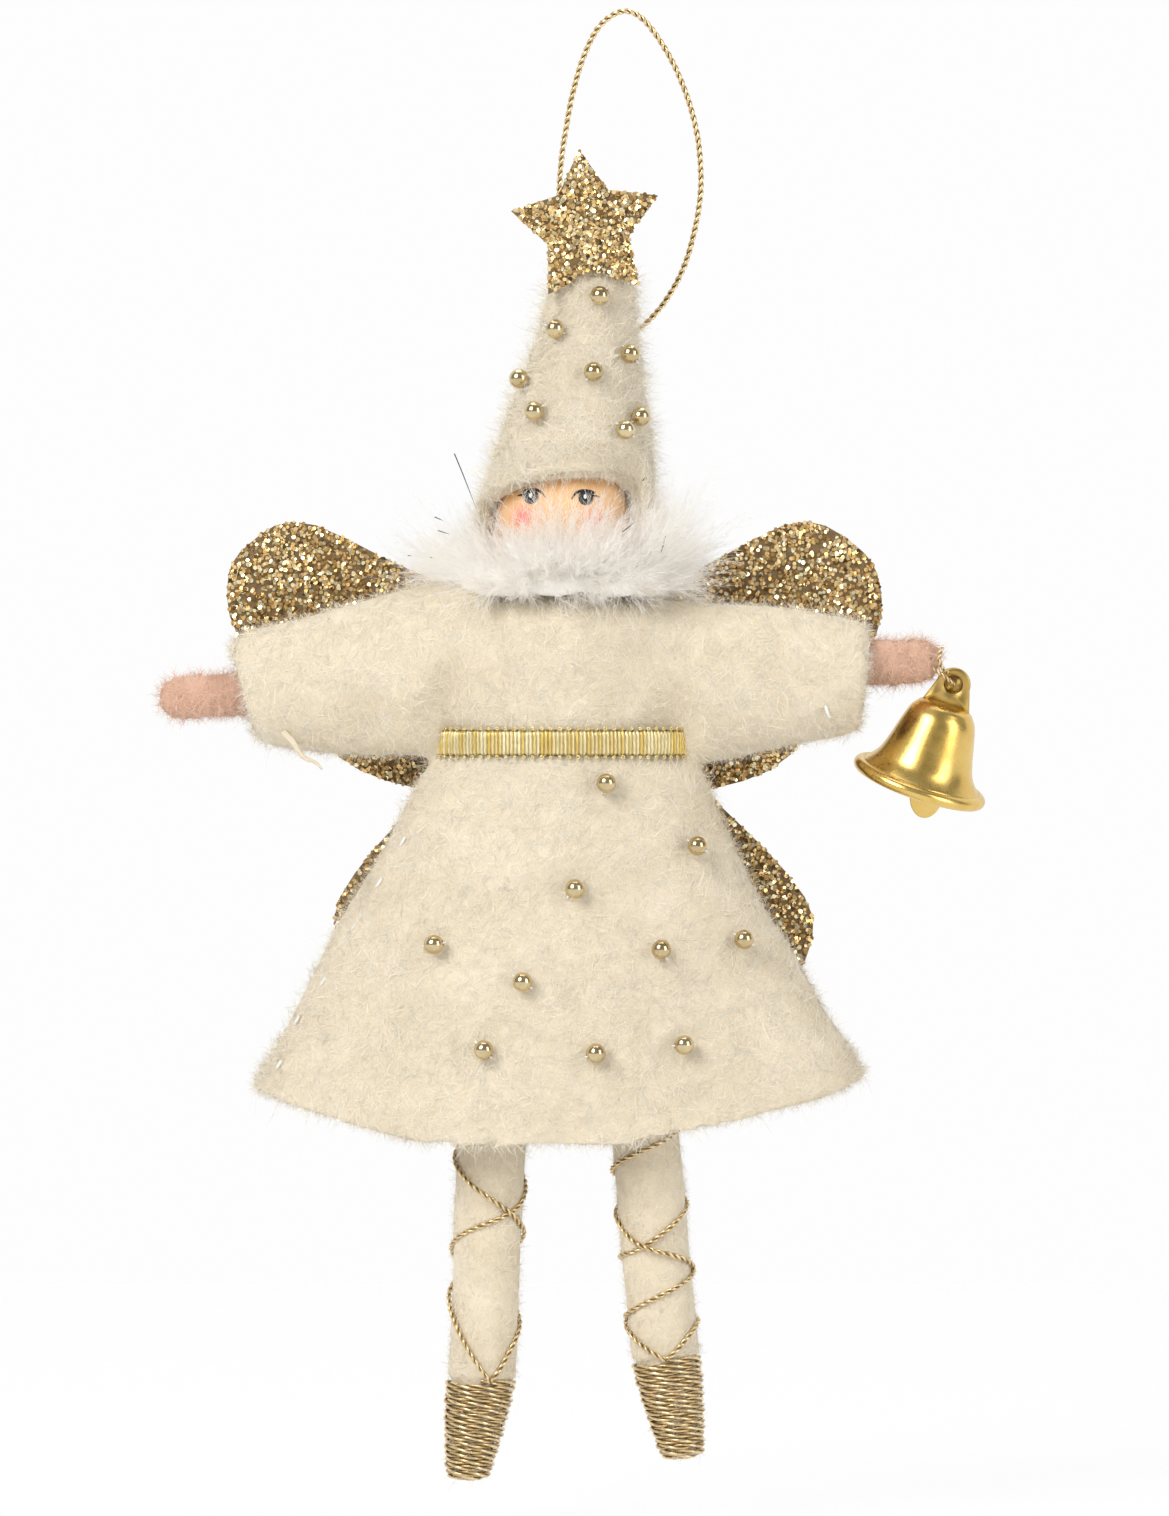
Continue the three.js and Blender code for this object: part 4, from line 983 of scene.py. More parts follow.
def add_hat():
    columns, rows = 200, 64
    angle = round_angles(columns)
    edge = hat_edge(angle)
    z = edge + (HAT_BOTTOM + HAT_HEIGHT - edge) * np.linspace(0, 1, rows)[:, None]
    share = (z - HAT_BOTTOM) / HAT_HEIGHT
    radius = hat_radius(share)
    ball = np.sqrt(np.maximum(1, (HEAD_RADIUS + FACE_EASE) ** 2 - (z - HEAD_Z) ** 2)) + FELT
    snug = smooth_step(FACE_REACH, 0, z - edge) * smooth_step(0, 0.3, np.sin(angle))
    radius = mix(radius, np.minimum(radius, ball), snug)
    x = (HAT_FOOT_X + HAT_LEAN * HAT_HEIGHT * share) * (1 - snug) + radius * np.cos(angle)
    grid = np.stack([x, -radius * np.sin(angle), z], axis=-1)
    faces = [tuple(f) for f in grid_faces(rows, columns)]
    faces.append(tuple(range((rows - 1) * columns, rows * columns)))
    hat = mesh_object("hat_felt", row(grid.reshape(-1, 3)), faces, CREAM, smooth=True)
    outward(hat)
    rumple(hat, 0.4, 0.08)
    spreads = {}
    for name in ("hat_nap", "hat_stray_nap"):
        spreads[name] = surface_points(hat, HAT_NAPS[name][0])
    count = HAT_NAPS["hat_rim_nap"][0]
    edge_line = grid[0, np.sin(angle) > 0.1]
    spot = rng.uniform(0, run_along(edge_line)[-1], count)
    edge_points = at_lengths(edge_line, spot)
    inward = unit(np.array([0, edge_points[:, 1].min(), HEAD_Z]) - edge_points)
    roots = edge_points + rng.normal(0, RIM_SCATTER, (count, 3)) + [0, 0.4, 0]
    spreads["hat_rim_nap"] = (roots, inward + [0, -0.4, 0])
    thick = hat.modifiers.new("felt", "SOLIDIFY")
    thick.thickness = FELT * MM
    thick.offset = -1
    hat = with_modifiers(hat)
    smooth_faces(hat.data)
    declare(hat, "doll", "hat")
    for name, (_, *ranges) in HAT_NAPS.items():
        # The hat's fibres take the lighter range: painted light.
        obj = fibres(name, *spreads[name], *ranges, CREAM_FIBRE, FELT_CURL, HAT_LIT_TONE)
        declare(obj, "doll")
    return hat


# Head: a wooden ball with a painted face
PEACH = np.array([0.92, 0.60, 0.34])
BROW_BROWN = np.array([0.62, 0.33, 0.12])
CHEEK_PINK = np.array([0.90, 0.24, 0.26])
BROW_FADE, BROW_WEIGHT = (2.6, 1.1), 0.75      # the hat's shade on the brow, below its edge
TEMPLE_FADE, TEMPLE_WEIGHT = (7.2, 8.4), 0.5
CHEEKS = [(-5.0, 28.0), (3.9, 27.6)]
CHEEK_WIDE, CHEEK_HIGH, CHEEK_WEIGHT = 1.3, 1.7, 0.9
EYES = {"eye_left": (-3.95, 30.6, -1), "eye_right": (2.85, 30.45, 1)}
DISC_SIDES, DISC_RINGS = 28, (0.05, 0.4, 0.7, 1.0)
WOOD = fibre_look("wood_ball", (1.0, 1.0, 1.0))
INK = plain_look("ink", (0.016, 0.014, 0.014), (0.008, 0.008, 0.008), 900.0, (0.45, 0.7))
IRIS = plain_look("iris", (0.10, 0.095, 0.10), (0.035, 0.035, 0.04), 900.0, (0.4, 0.6))
EYE_LIGHT = plain_look("eye_light", (0.92, 0.91, 0.9), (0.85, 0.84, 0.83), 900.0, (0.3, 0.5))


def face_points(x, z, lift):
    """Points on the front of the head, lift outside it."""
    x, z = np.asarray(x, dtype=float), np.asarray(z, dtype=float)
    y = -np.sqrt((HEAD_RADIUS + lift) ** 2 - x**2 - (z - HEAD_Z) ** 2)
    return np.stack([x, y, z], axis=-1)


def face_disc(name, x, z, half_width, half_height, lift, material):
    angle = round_angles(DISC_SIDES)
    rings = [
        face_points(x + share * half_width * np.cos(angle), z + share * half_height * np.sin(angle), lift)
        for share in DISC_RINGS
    ]
    points = np.array(rings).reshape(-1, 3)
    faces = [tuple(f) for f in grid_faces(len(DISC_RINGS), DISC_SIDES)] + [tuple(range(DISC_SIDES))]
    return on_face(mesh_object(name, row(points), faces, material, smooth=True))


def face_line(name, stops, width, lift, material):
    """A brush stroke through stops on the face, thin at both ends."""
    path = spline([(x, 0, z) for x, z in stops], 8)
    tangent = np.gradient(path, axis=0)
    across = unit(np.stack([-tangent[:, 2], 0 * tangent[:, 0], tangent[:, 0]], axis=1))
    taper = np.sin(np.linspace(0.25, math.pi - 0.25, len(path)))[:, None] * width / 2
    low, high = path - across * taper, path + across * taper
    grid = np.stack([face_points(e[:, 0], e[:, 2], lift) for e in (low, high)], axis=1)
    faces = grid_faces(len(path), 2, closed=False)
    return on_face(mesh_object(name, row(grid.reshape(-1, 3)), faces, material, smooth=True))


def on_face(obj):
    return declare(obj, "doll")


def add_eye(name, x, z, outer):
    """An eye whose outer corner lies to the side outer, -1 or 1."""
    face_disc(f"{name}_rim", x, z, 0.94, 0.92, 0.03, INK)
    face_disc(f"{name}_iris", x - 0.02, z - 0.1, 0.74, 0.7, 0.05, IRIS)
    face_disc(f"{name}_pupil", x - 0.03, z + 0.06, 0.46, 0.48, 0.07, INK)
    face_disc(f"{name}_light", x - 0.08, z + 0.16, 0.2, 0.29, 0.09, EYE_LIGHT)
    face_line(f"{name}_lid", [
        (x + outer * 1.15, z + 0.62), (x + outer * 0.6, z + 0.84), (x - outer * 0.5, z + 0.88),
        (x - outer * 1.3, z + 0.5), (x - outer * 1.8, z - 0.2),
    ], 0.36, 0.1, INK)
    face_line(f"{name}_lash_a", [(x + outer * 0.75, z + 0.5), (x + outer * 1.2, z + 0.78)], 0.28, 0.11, INK)
    face_line(f"{name}_lash_b", [
        (x + outer * 0.8, z + 0.3), (x + outer * 1.2, z + 0.25), (x + outer * 1.75, z + 0.12),
    ], 0.26, 0.11, INK)


def add_head():
    tilt = np.linspace(0.01, math.pi - 0.01, 110)[:, None]
    angle = round_angles(180)[None, :]
    grid = np.stack([
        np.sin(tilt) * np.cos(angle), -np.sin(tilt) * np.sin(angle), np.cos(tilt) + 0 * angle,
    ], axis=-1) * HEAD_RADIUS + [0, 0, HEAD_Z]
    head = grid_object("head_ball", grid, WOOD, capped=True)
    points = grid.reshape(-1, 3)
    colour = np.tile(PEACH, (len(points), 1))
    below = face_edge(points[:, 0]) - points[:, 2] + 0.25 * np.sin(points[:, 0] * 1.3)
    colour = mix(colour, BROW_BROWN, smooth_step(*BROW_FADE, below)[:, None] * BROW_WEIGHT)
    temple = smooth_step(*TEMPLE_FADE, np.abs(points[:, 0]))[:, None] * TEMPLE_WEIGHT
    colour = mix(colour, BROW_BROWN, temple)
    for x, z in CHEEKS:
        near = np.exp(-((points[:, 0] - x) ** 2 / CHEEK_WIDE + (points[:, 2] - z) ** 2 / CHEEK_HIGH))
        colour = mix(colour, CHEEK_PINK, (near * (points[:, 1] < 0) * CHEEK_WEIGHT)[:, None])
    paint(head, "tone", colour)
    declare(head, "doll", "head")
    for name, eye in EYES.items():
        add_eye(name, *eye)


# Feather collar: tufts of marabou wound round the neck
COLLAR_Z, COLLAR_RADIUS, COLLAR_WIDEN, COLLAR_DEPTH = 20.2, 8.8, 1.25, 0.8
FRONT = (0.6, math.pi - 0.6)             # the stretch of the collar below the face
WISP = (1.4, 1.62)                       # the tuft that rises before the nose
SIDE_WISP = (0.1, 0.95)                  # and those beside the right cheek
ALL_ROUND = (0, 2 * math.pi)
TUFTS = {                                # tufts, plumes in each, range of slopes, greatest length, stretch
    "collar_plumes": (130, 13, (-0.1, 1.6), 9.4, ALL_ROUND),
    "collar_under_plumes": (60, 9, (-0.5, 0.1), 3.0, ALL_ROUND),
    "collar_front_plumes": (36, 13, (0.2, 1.4), 6.4, FRONT),
    "collar_wisp": (12, 16, (1.05, 1.3), 13.0, WISP),
    "collar_side_wisp": (26, 12, (0.75, 1.2), 14.5, SIDE_WISP),
}
CORE_WIDE, CORE_HIGH = 1.9, 1.8
PLUME_BEND, PLUME_TWIST, PLUME_SHADE = 0.3, 0.4, (0.985, 1.0)
TUFT_SPREAD, TUFT_SCATTER, PLUME_SPREAD = 0.3, 0.7, 0.17
BARBULES, SHAFT_HALF, BARBULE_HALF = 10, 0.028, 0.026
BARBULE_LEAN, BARBULE_LENGTH = (0.25, 0.75), (0.9, 2.6)
DARK_HALF, DARK_TONE = 0.07, 0.035
DARK_BARBS = [                           # root and tip, each across and up
    (-16.0, 28.2, -15.0, 27.7), (-15.6, 26.5, -14.0, 25.9), (-19.5, 23.5, -18.9, 23.5),
    (-16.6, 23.2, -16.0, 23.1), (7.4, 26.1, 9.0, 27.4), (12.2, 23.6, 13.1, 26.5),
    (9.9, 32.5, 10.2, 32.9), (-13.5, 36.0, -10.6, 29.1),
]


def plumes(name, root, heading, reach):
    """Feather barbs: a fine shaft each, with barbules to both sides."""
    count = len(root)
    heading = unit(heading)
    bend = rng.normal(0, PLUME_BEND, (count, 3)) + [0, 0, 0.05]
    outside = root * [1, 1, 0] / COLLAR_RADIUS + [0, 0, 0.6]
    side = unit(np.cross(heading, outside + rng.normal(0, PLUME_TWIST, (count, 3))))
    facing = np.cross(side, heading)
    shade = rng.uniform(*PLUME_SHADE, count)[:, None] * np.ones(3)
    shafts = [(root, heading, bend, reach, np.full((count, 1), SHAFT_HALF), facing, shade)]
    for i in range(BARBULES):
        s = 0.15 + 0.85 * (i + rng.random((count, 1)) * 0.8) / BARBULES
        spot = root + reach * (s * heading + 0.5 * s * s * bend)
        along = heading + s * bend
        for hand in (-1, 1):
            lean = along + hand * side * rng.uniform(*BARBULE_LEAN, (count, 1))
            lean += facing * rng.normal(0, 0.25, (count, 1))
            curve = along * 0.4 + rng.normal(0, 0.3, (count, 3))
            size = rng.uniform(*BARBULE_LENGTH, (count, 1)) * (1.1 - 0.45 * s)
            shafts.append((spot, unit(lean), curve, size, np.full((count, 1), BARBULE_HALF), facing, shade))
    parts = [np.vstack(part) for part in zip(*shafts)]
    return strips(name, *parts[:6], FEATHER, parts[6], steps=2)


def collar_tufts(tufts, per_tuft, rise, longest, arc):
    """Roots, headings and lengths of plumes that leave the neck in tufts."""
    around = rng.uniform(*arc, tufts)
    section = rng.uniform(*rise, tufts)
    radial = np.stack([np.cos(around), -np.sin(around), 0 * around], axis=1)
    heading = np.cos(section)[:, None] * radial + np.sin(section)[:, None] * np.array([0, 0, 1.0])
    heading += rng.normal(0, TUFT_SPREAD, (tufts, 3))
    ring = radial * [COLLAR_RADIUS * COLLAR_WIDEN, COLLAR_RADIUS * COLLAR_DEPTH, 0] + [0, 0, COLLAR_Z]
    long = rng.uniform(0.5, 1, tufts) * longest * (1 - 0.3 * np.clip(section - 0.9, 0, 1))
    pick = np.repeat(np.arange(tufts), per_tuft)
    count = len(pick)
    root = ring[pick] + rng.normal(0, TUFT_SCATTER, (count, 3)) + heading[pick] * 0.8
    turned = heading[pick] + rng.normal(0, PLUME_SPREAD, (count, 3))
    return root, turned, (long[pick] * rng.uniform(0.75, 1.15, count))[:, None]


def add_collar():
    angle = np.linspace(0, 2 * np.pi, 121)[:, None]
    section = round_angles(24)[None, :]
    reach = COLLAR_RADIUS + CORE_WIDE * np.cos(section)
    grid = np.stack([
        reach * COLLAR_WIDEN * np.cos(angle), -reach * COLLAR_DEPTH * np.sin(angle),
        COLLAR_Z + CORE_HIGH * np.sin(section) + 0 * angle,
    ], axis=-1)
    core = grid_object("collar_down", grid, DOWN)
    rumple(core, 0.8, 0.3, 4.0)
    declare(core, "doll", "feather_collar")
    for name, tufts in TUFTS.items():
        declare(plumes(name, *collar_tufts(*tufts)), "doll")
    add_dark_barbs()


def add_dark_barbs():
    """A few barbs with dark tips, which the photograph shows across the feather."""
    ends = np.array(DARK_BARBS)
    root = np.stack([ends[:, 0], -15.5 + 0.05 * ends[:, 0] ** 2, ends[:, 1]], axis=1)
    tip = np.stack([ends[:, 2], -16.0 + 0.05 * ends[:, 2] ** 2, ends[:, 3]], axis=1)
    reach = np.linalg.norm(tip - root, axis=1)[:, None]
    count = len(ends)
    barbs = strips(
        "collar_dark_barbs", root, (tip - root) / reach, rng.normal(0, 0.06, (count, 3)), reach,
        np.full((count, 1), DARK_HALF), np.tile([0.0, -1.0, 0.2], (count, 1)), FEATHER,
        np.full((count, 3), DARK_TONE),
    )
    declare(barbs, "doll")


# Glitter card: flakes glued over the front of the star and the wings
FLAKE_TONES = np.array([
    (1.0, 0.86, 0.54), (0.95, 0.68, 0.33), (0.79, 0.51, 0.19), (0.49, 0.28, 0.09), (0.18, 0.11, 0.04),
])
FLAKE_SHARES = [0.24, 0.26, 0.24, 0.16, 0.1]
FLAKE_SIZE, FLAKE_TILT, FLAKE_LIFT = (0.38, 0.62), 0.22, (0.04, 0.22)
FLAKE_SPARK = (0.85, 1.1)
FLAKE_COUNTS = {"star": 1500, "wings": 21000}


def add_flakes(name, roots, normals):
    """Six-sided flakes lying at slight tilts."""
    count = len(roots)
    facing = unit(normals + rng.normal(0, FLAKE_TILT, (count, 3)))
    side = unit(np.cross(facing, rng.normal(size=(count, 3))))
    up = np.cross(facing, side)
    radius = rng.uniform(*FLAKE_SIZE, count)[:, None, None] / 2
    turn = round_angles(6)[None, :, None]
    lift = rng.uniform(*FLAKE_LIFT, count)[:, None]
    centre = (roots + normals * lift)[:, None, :]
    points = centre + radius * (np.cos(turn) * side[:, None, :] + np.sin(turn) * up[:, None, :])
    obj = mesh_from_arrays(name, row(points.reshape(-1, 3)), np.arange(count * 6).reshape(-1, 6), FLAKES)
    tone = FLAKE_TONES[rng.choice(len(FLAKE_TONES), count, p=FLAKE_SHARES)]
    tone = tone * rng.uniform(*FLAKE_SPARK, (count, 1))
    paint(obj, "tone", np.repeat(np.clip(tone, 0, 1), 6, axis=0))
    declare(obj, "doll")


def front_faces(centres, normals):
    return normals[:, 1] < -0.9


def add_glitter():
    for node, count in FLAKE_COUNTS.items():
        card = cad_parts[node]
        only_material(card, CARD)
        add_flakes(f"{node}_flakes", *surface_points(card, count, front_faces))


# Belt: a ribbed ribbon with looped edges
BELT_WIDTH, BELT_THICKNESS = 3.3, 0.5
RIB_PITCH, RIB_STEPS = 0.48, 6
PICOT_PITCH, PICOT_SIZE, PICOT_RADIUS = 1.1, (0.14, 0.22), 0.1
RIB_GOLD = np.array([0.80, 0.57, 0.14])
RIB_PALE = np.array([0.96, 0.86, 0.55])


def waist_path(out, count):
    """Evenly spaced points round the waist, and the way out at each."""
    angle = np.linspace(0, 2 * np.pi, 721)
    depth = np.sin(angle)
    path = np.stack([
        (WAIST_HALF_WIDTH + out) * np.cos(angle),
        -depth * (np.where(depth > 0, WAIST_FRONT, BODY_BACK) + out), 0 * angle,
    ], axis=1)
    girth = run_along(path)[-1]
    even = at_lengths(path, np.linspace(0, girth, count + 1))
    along = np.gradient(even, axis=0)
    normal = unit(np.stack([-along[:, 1], along[:, 0], 0 * along[:, 0]], axis=1))
    normal *= np.sign(np.sum(normal * even, axis=1))[:, None]
    return even, normal, girth


def add_belt():
    girth = waist_path(0, 8)[2]
    ribs = int(round(girth / RIB_PITCH))
    path, normal, _ = waist_path(0, ribs * RIB_STEPS)
    phase = np.arange(len(path)) / RIB_STEPS
    rib = np.abs(np.cos(np.pi * phase))
    rings = []
    for z in np.linspace(-BELT_WIDTH / 2, BELT_WIDTH / 2, 9):
        edge = 1 - 0.5 * abs(z / (BELT_WIDTH / 2)) ** 6
        sway = 0.05 * np.sin(z * 5 + phase * 0.7)
        out = BELT_THICKNESS * (0.5 + 0.5 * rib) * edge + sway
        rings.append(path + normal * out[:, None] + [0, 0, z])
    for z in (BELT_WIDTH / 2 - 0.1, -BELT_WIDTH / 2 + 0.1):
        rings.append(path + [0, 0, z])
    grid = np.stack(rings, axis=1)
    belt = grid_object("belt_ribbon", grid, RIBS)
    pale = rng.random(ribs + 2)[np.round(phase).astype(int)][:, None, None]
    # Painted shade: each rib is painted darker towards the grooves between ribs, down to half.
    tone = mix(RIB_GOLD, RIB_PALE, pale) * mix(0.5, 1.0, rib**0.6)[:, None, None]
    tone = tone * rng.uniform(0.8, 1.1, grid.shape[:2])[:, :, None]
    tone[:, (0, 8)] *= np.where(phase % 2 < 1.1, 0.3, 1.0)[:, None, None]
    paint(belt, "tone", np.clip(tone, 0, 1).reshape(-1, 3))
    declare(belt, "doll", "belt")
    spots, away, _ = waist_path(BELT_THICKNESS * 0.7, int(round(girth / PICOT_PITCH)))
    loops = []
    for edge in (-1, 1):
        for spot, out in zip(spots[:-1], away[:-1]):
            loops.append(picot(spot + [0, 0, edge * (BELT_WIDTH / 2 + 0.12)], out))
    declare(joined_object("belt_picots", loops, RIBBON_GOLD), "doll")


def picot(spot, out):
    """A small standing loop of thread, its plane across the belt's edge."""
    across = np.cross(out, [0, 0, 1])
    turn = np.linspace(0, 2 * np.pi, 9)[:, None]
    size = rng.uniform(*PICOT_SIZE)
    path = spot + size * (np.cos(turn) * across + np.sin(turn) * np.array([0, 0, 0.9]))
    return tube_grid(path + out * rng.uniform(-0.08, 0.08), PICOT_RADIUS, 5)


# Beads: turned brass balls with a hole, sewn on through it
BEAD_RADIUS, BEAD_HOLE, BEAD_BORE = 1.22, 0.34, 0.7
BEAD_LEAN, BEAD_TURN, BEAD_THREAD = 1.2, 0.25, 0.12


def bead_grid(centre, axis):
    start = math.asin(BEAD_HOLE / BEAD_RADIUS)
    tilt = np.linspace(start, math.pi - start, 17)
    radius = np.concatenate([BEAD_RADIUS * np.sin(tilt), [BEAD_HOLE * 0.8, BEAD_HOLE * 0.8, BEAD_HOLE]])
    bore = [-BEAD_BORE, BEAD_BORE, BEAD_RADIUS * math.cos(start)]
    along = np.concatenate([BEAD_RADIUS * np.cos(tilt), bore])
    axis = axis / np.linalg.norm(axis)
    side = np.cross(axis, [0.2, 1.0, 0.1])
    side /= np.linalg.norm(side)
    up = np.cross(axis, side)
    angle = round_angles(28)
    around = np.cos(angle)[:, None] * side + np.sin(angle)[:, None] * up
    return centre + along[:, None, None] * axis + radius[:, None, None] * around[None]


def add_beads():
    threads = []
    for node in sorted(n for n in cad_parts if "_bead_" in n):
        centre = node_centre(node)
        lean = rng.uniform(-BEAD_LEAN, BEAD_LEAN)
        axis = np.array([math.cos(lean), rng.uniform(-BEAD_TURN, BEAD_TURN), math.sin(lean)])
        bead = grid_object(f"{node}_ball", bead_grid(centre, axis), BEAD_GOLD)
        declare(bead, "doll", node)
        for end in (-1, 1):
            stitch = spline([
                centre + end * axis * BEAD_BORE, centre + end * axis * 1.25 + [0, 0.2, 0],
                centre + end * axis * 1.45 + [0, 1.3, 0],
            ], 5)
            threads.append(tube_grid(stitch, BEAD_THREAD, 5))
    sew("bead_threads", threads, "doll")


# Limbs: wool and felt wound on wire
SHOULDER = (9.0, 0.0, 8.4)
ARM_RADIUS, HAND_RADIUS = 3.2, 2.6
ROOT_SHARE = 0.86                        # an arm is thinner inside the shoulder
BARE_X, BARE_Z = 33, -40                 # past these the limbs show
ARMS = {
    "left": {"side": -1, "length": 41.6, "droop": 0.07},
    "right": {"side": 1, "length": 38.2, "droop": -0.052},
}
LIMB_FIBRE, LIMB_CURL = (0.03, 0.065), 1.1
ARM_NAP = (3200, (0.7, 2.2), (0.03, 0.7))      # fibres, and the least and most of their length and lift
LEG_NAP = (5200, (0.7, 1.9), (0.06, 0.6))
WOOL_PITCH, WOOL_RISE = 1.5, 0.1         # the wool's winding
HIP = (7.7, -1.5, -22.0)
LEG_RADIUS, ANKLE_RADIUS, TOE_RADIUS = 4.2, 3.75, 2.1
SHOE_HEIGHT, ANKLE_STEP = 12.6, 0.2
SHOE_CORD, SHOE_TURNS = 0.78, 16.5
LACE_CORD = 0.7
LACE_LAY, SHOE_LAY = 2.2, 6.5            # the cords' twist
LACE_SEAT, LACE_OVER = 0.42, 0.75        # shares of a lace's thickness off the leg, and over its twin
LEGS = {
    "left": {"side": -1, "ankle": 57.0, "splay": 0.043, "toe": -1.2},
    "right": {"side": 1, "ankle": 54.6, "splay": 0.093, "toe": 1.0},
}
# Turns from the front, and height above the shoe: lace a leaves the front to the right, lace b to the left
LACES = {
    ("left", "a"): [(0.04, -0.6), (0.25, 6.6), (0.75, 15.8), (1.1, 20.5), (1.25, 23.5), (1.6, 31.0)],
    ("left", "b"): [(-0.04, -0.6), (0.25, 9.7), (0.75, 18.0), (0.9, 20.5), (1.25, 27.1), (1.5, 31.0)],
    ("right", "a"): [
        (0.0, -0.4), (0.25, 3.9), (0.75, 5.3), (1.25, 10.0), (1.75, 12.7), (1.95, 13.9), (2.25, 18.6),
        (2.75, 23.5), (3.1, 26.9), (3.25, 28.5),
    ],
    ("right", "b"): [(0.0, -0.4), (0.25, 4.2), (0.75, 10.5), (1.05, 13.9), (1.25, 18.0), (1.55, 21.5)],
}


def placed(points, place, turn):
    """Points of a limb's own frame, turned about Y and moved to its joint."""
    c, s = math.cos(turn), math.sin(turn)
    points = np.asarray(points, dtype=float)
    x, y, z = points[..., 0], points[..., 1], points[..., 2]
    return np.stack([c * x + s * z, y, c * z - s * x], axis=-1) + place


def add_arm(name):
    arm = ARMS[name]
    side = arm["side"]
    wrist = arm["length"] - HAND_RADIUS
    along = np.concatenate([np.linspace(-ARM_RADIUS, 0, 10)[1:], np.linspace(0.4, wrist, 90)])
    tip = np.linspace(0.1, 1, 12)[:-1]
    end = wrist + HAND_RADIUS * np.sin(tip * math.pi / 2)
    radius = np.where(along < 0, np.sqrt(np.maximum(0.05, ARM_RADIUS**2 - along**2)),
                      mix(ARM_RADIUS, HAND_RADIUS, np.clip(along / arm["length"], 0, 1)))
    along = np.concatenate([along, end])
    radius = np.concatenate([radius, HAND_RADIUS * np.cos(tip * math.pi / 2)])
    angle = round_angles(44)
    wind = WOOL_RISE * np.sin(2 * np.pi * along[:, None] / WOOL_PITCH + angle[None, :])
    radius = radius * mix(ROOT_SHARE, 1, smooth_step(0, 6, along))
    r = radius[:, None] + wind * np.minimum(1, radius[:, None] / HAND_RADIUS)
    grid = np.stack([
        side * along[:, None] + 0 * r, r * np.sin(angle), r * np.cos(angle),
    ], axis=-1)
    place = (side * SHOULDER[0], SHOULDER[1], SHOULDER[2])
    obj = grid_object(f"arm_{name}_wool", placed(grid, place, side * arm["droop"]), PINK, capped=True)
    rumple(obj, 0.25, 0.16, 4.0)
    soft_limb(obj, f"arm_{name}", "pink_wool", PINK_FIBRE, *ARM_NAP)


def keep_bare(centres, normals):
    """What shows of the limbs outside the cuffs and below the hem."""
    return (np.abs(centres[:, 0]) > BARE_X) | (centres[:, 2] < BARE_Z)


def soft_limb(obj, node, slot_name, fibre, count, length, lift):
    """A limb rides its own body, with a nap of its own."""
    spread = surface_points(obj, count, keep_bare)
    nap = fibres(f"{node}_nap", *spread, length, lift, LIMB_FIBRE, fibre, LIMB_CURL, FELT_TONE)
    declare(obj, node, node)
    declare(nap, node)


def leg_place(leg):
    return (leg["side"] * HIP[0], HIP[1], HIP[2]), -leg["side"] * leg["splay"]


def add_leg(name):
    leg = LEGS[name]
    ball = np.linspace(LEG_RADIUS - 0.05, 0.2, 8)
    shin = np.linspace(0, -leg["ankle"], 110)
    foot = np.linspace(0.02, 1, 26)
    z = np.concatenate([ball, shin, -leg["ankle"] - ANKLE_STEP - foot * (SHOE_HEIGHT - ANKLE_STEP)])
    radius = np.concatenate([
        np.sqrt(np.maximum(0.1, LEG_RADIUS**2 - ball**2)), np.full(len(shin), LEG_RADIUS), foot_radius(foot),
    ])
    shift = np.concatenate([np.zeros(len(ball) + len(shin)), leg["toe"] * foot])
    angle = round_angles(56)
    radius = radius[:, None]
    grid = np.stack([
        shift[:, None] + radius * np.cos(angle), radius * np.sin(angle), z[:, None] + 0 * angle,
    ], axis=-1)
    obj = grid_object(f"leg_{name}_felt", placed(grid, *leg_place(leg)), CREAM, capped=True)
    rumple(obj, 0.22, 0.12, 6.0)
    soft_limb(obj, f"leg_{name}", "cream_felt", CREAM_FIBRE, *LEG_NAP)
    add_shoe(name)
    add_laces(name)


def foot_radius(share):
    return mix(ANKLE_RADIUS, TOE_RADIUS, share**1.4)


def add_shoe(name):
    """Gold cord wound close round the foot, from the ankle to the toe."""
    leg = LEGS[name]
    turns = np.linspace(0, 1, int(SHOE_TURNS * 40))
    angle = -np.pi / 2 + 2 * np.pi * SHOE_TURNS * turns
    depth = ANKLE_STEP + SHOE_CORD / 2 + turns * (SHOE_HEIGHT - ANKLE_STEP - SHOE_CORD * 0.6)
    share = np.clip((depth - ANKLE_STEP) / (SHOE_HEIGHT - ANKLE_STEP), 0, 1)
    radius = foot_radius(share) + SHOE_CORD / 2 + 0.06 * np.sin(angle * 0.37)
    path = np.stack([
        leg["toe"] * share + radius * np.cos(angle), radius * np.sin(angle), -leg["ankle"] - depth,
    ], axis=1)
    curl = np.linspace(0.1, 1, 60)
    spiral = (1 - curl) * (TOE_RADIUS + SHOE_CORD / 2)
    turn = angle[-1] + curl * 5 * np.pi
    toe = np.stack([
        leg["toe"] + spiral * np.cos(turn), spiral * np.sin(turn), path[-1, 2] - 0.45 * curl,
    ], axis=1)
    path = placed(np.vstack([path, toe]), *leg_place(leg))
    twisted_cord(f"shoe_{name}_cord", path, SHOE_CORD, SHOE_LAY, f"leg_{name}", f"shoe_{name}", 0.26)


def add_laces(name):
    leg = LEGS[name]
    for letter, direction in (("a", 1), ("b", -1)):
        stops = spline([(turn, 0, height) for turn, height in LACES[name, letter]], 24)
        turn, height = 2 * np.pi * stops[:, 0], stops[:, 2]
        over = LACE_OVER * LACE_CORD * np.cos(turn) ** 4 if direction < 0 else 0 * turn
        radius = LEG_RADIUS + LACE_SEAT * LACE_CORD + over
        angle = -np.pi / 2 + direction * turn
        path = np.stack([radius * np.cos(angle), radius * np.sin(angle), height - leg["ankle"]], axis=1)
        lace, path = f"lace_{name}_{letter}", placed(path, *leg_place(leg))
        twisted_cord(f"{lace}_cord", path, LACE_CORD, LACE_LAY, f"leg_{name}", lace)


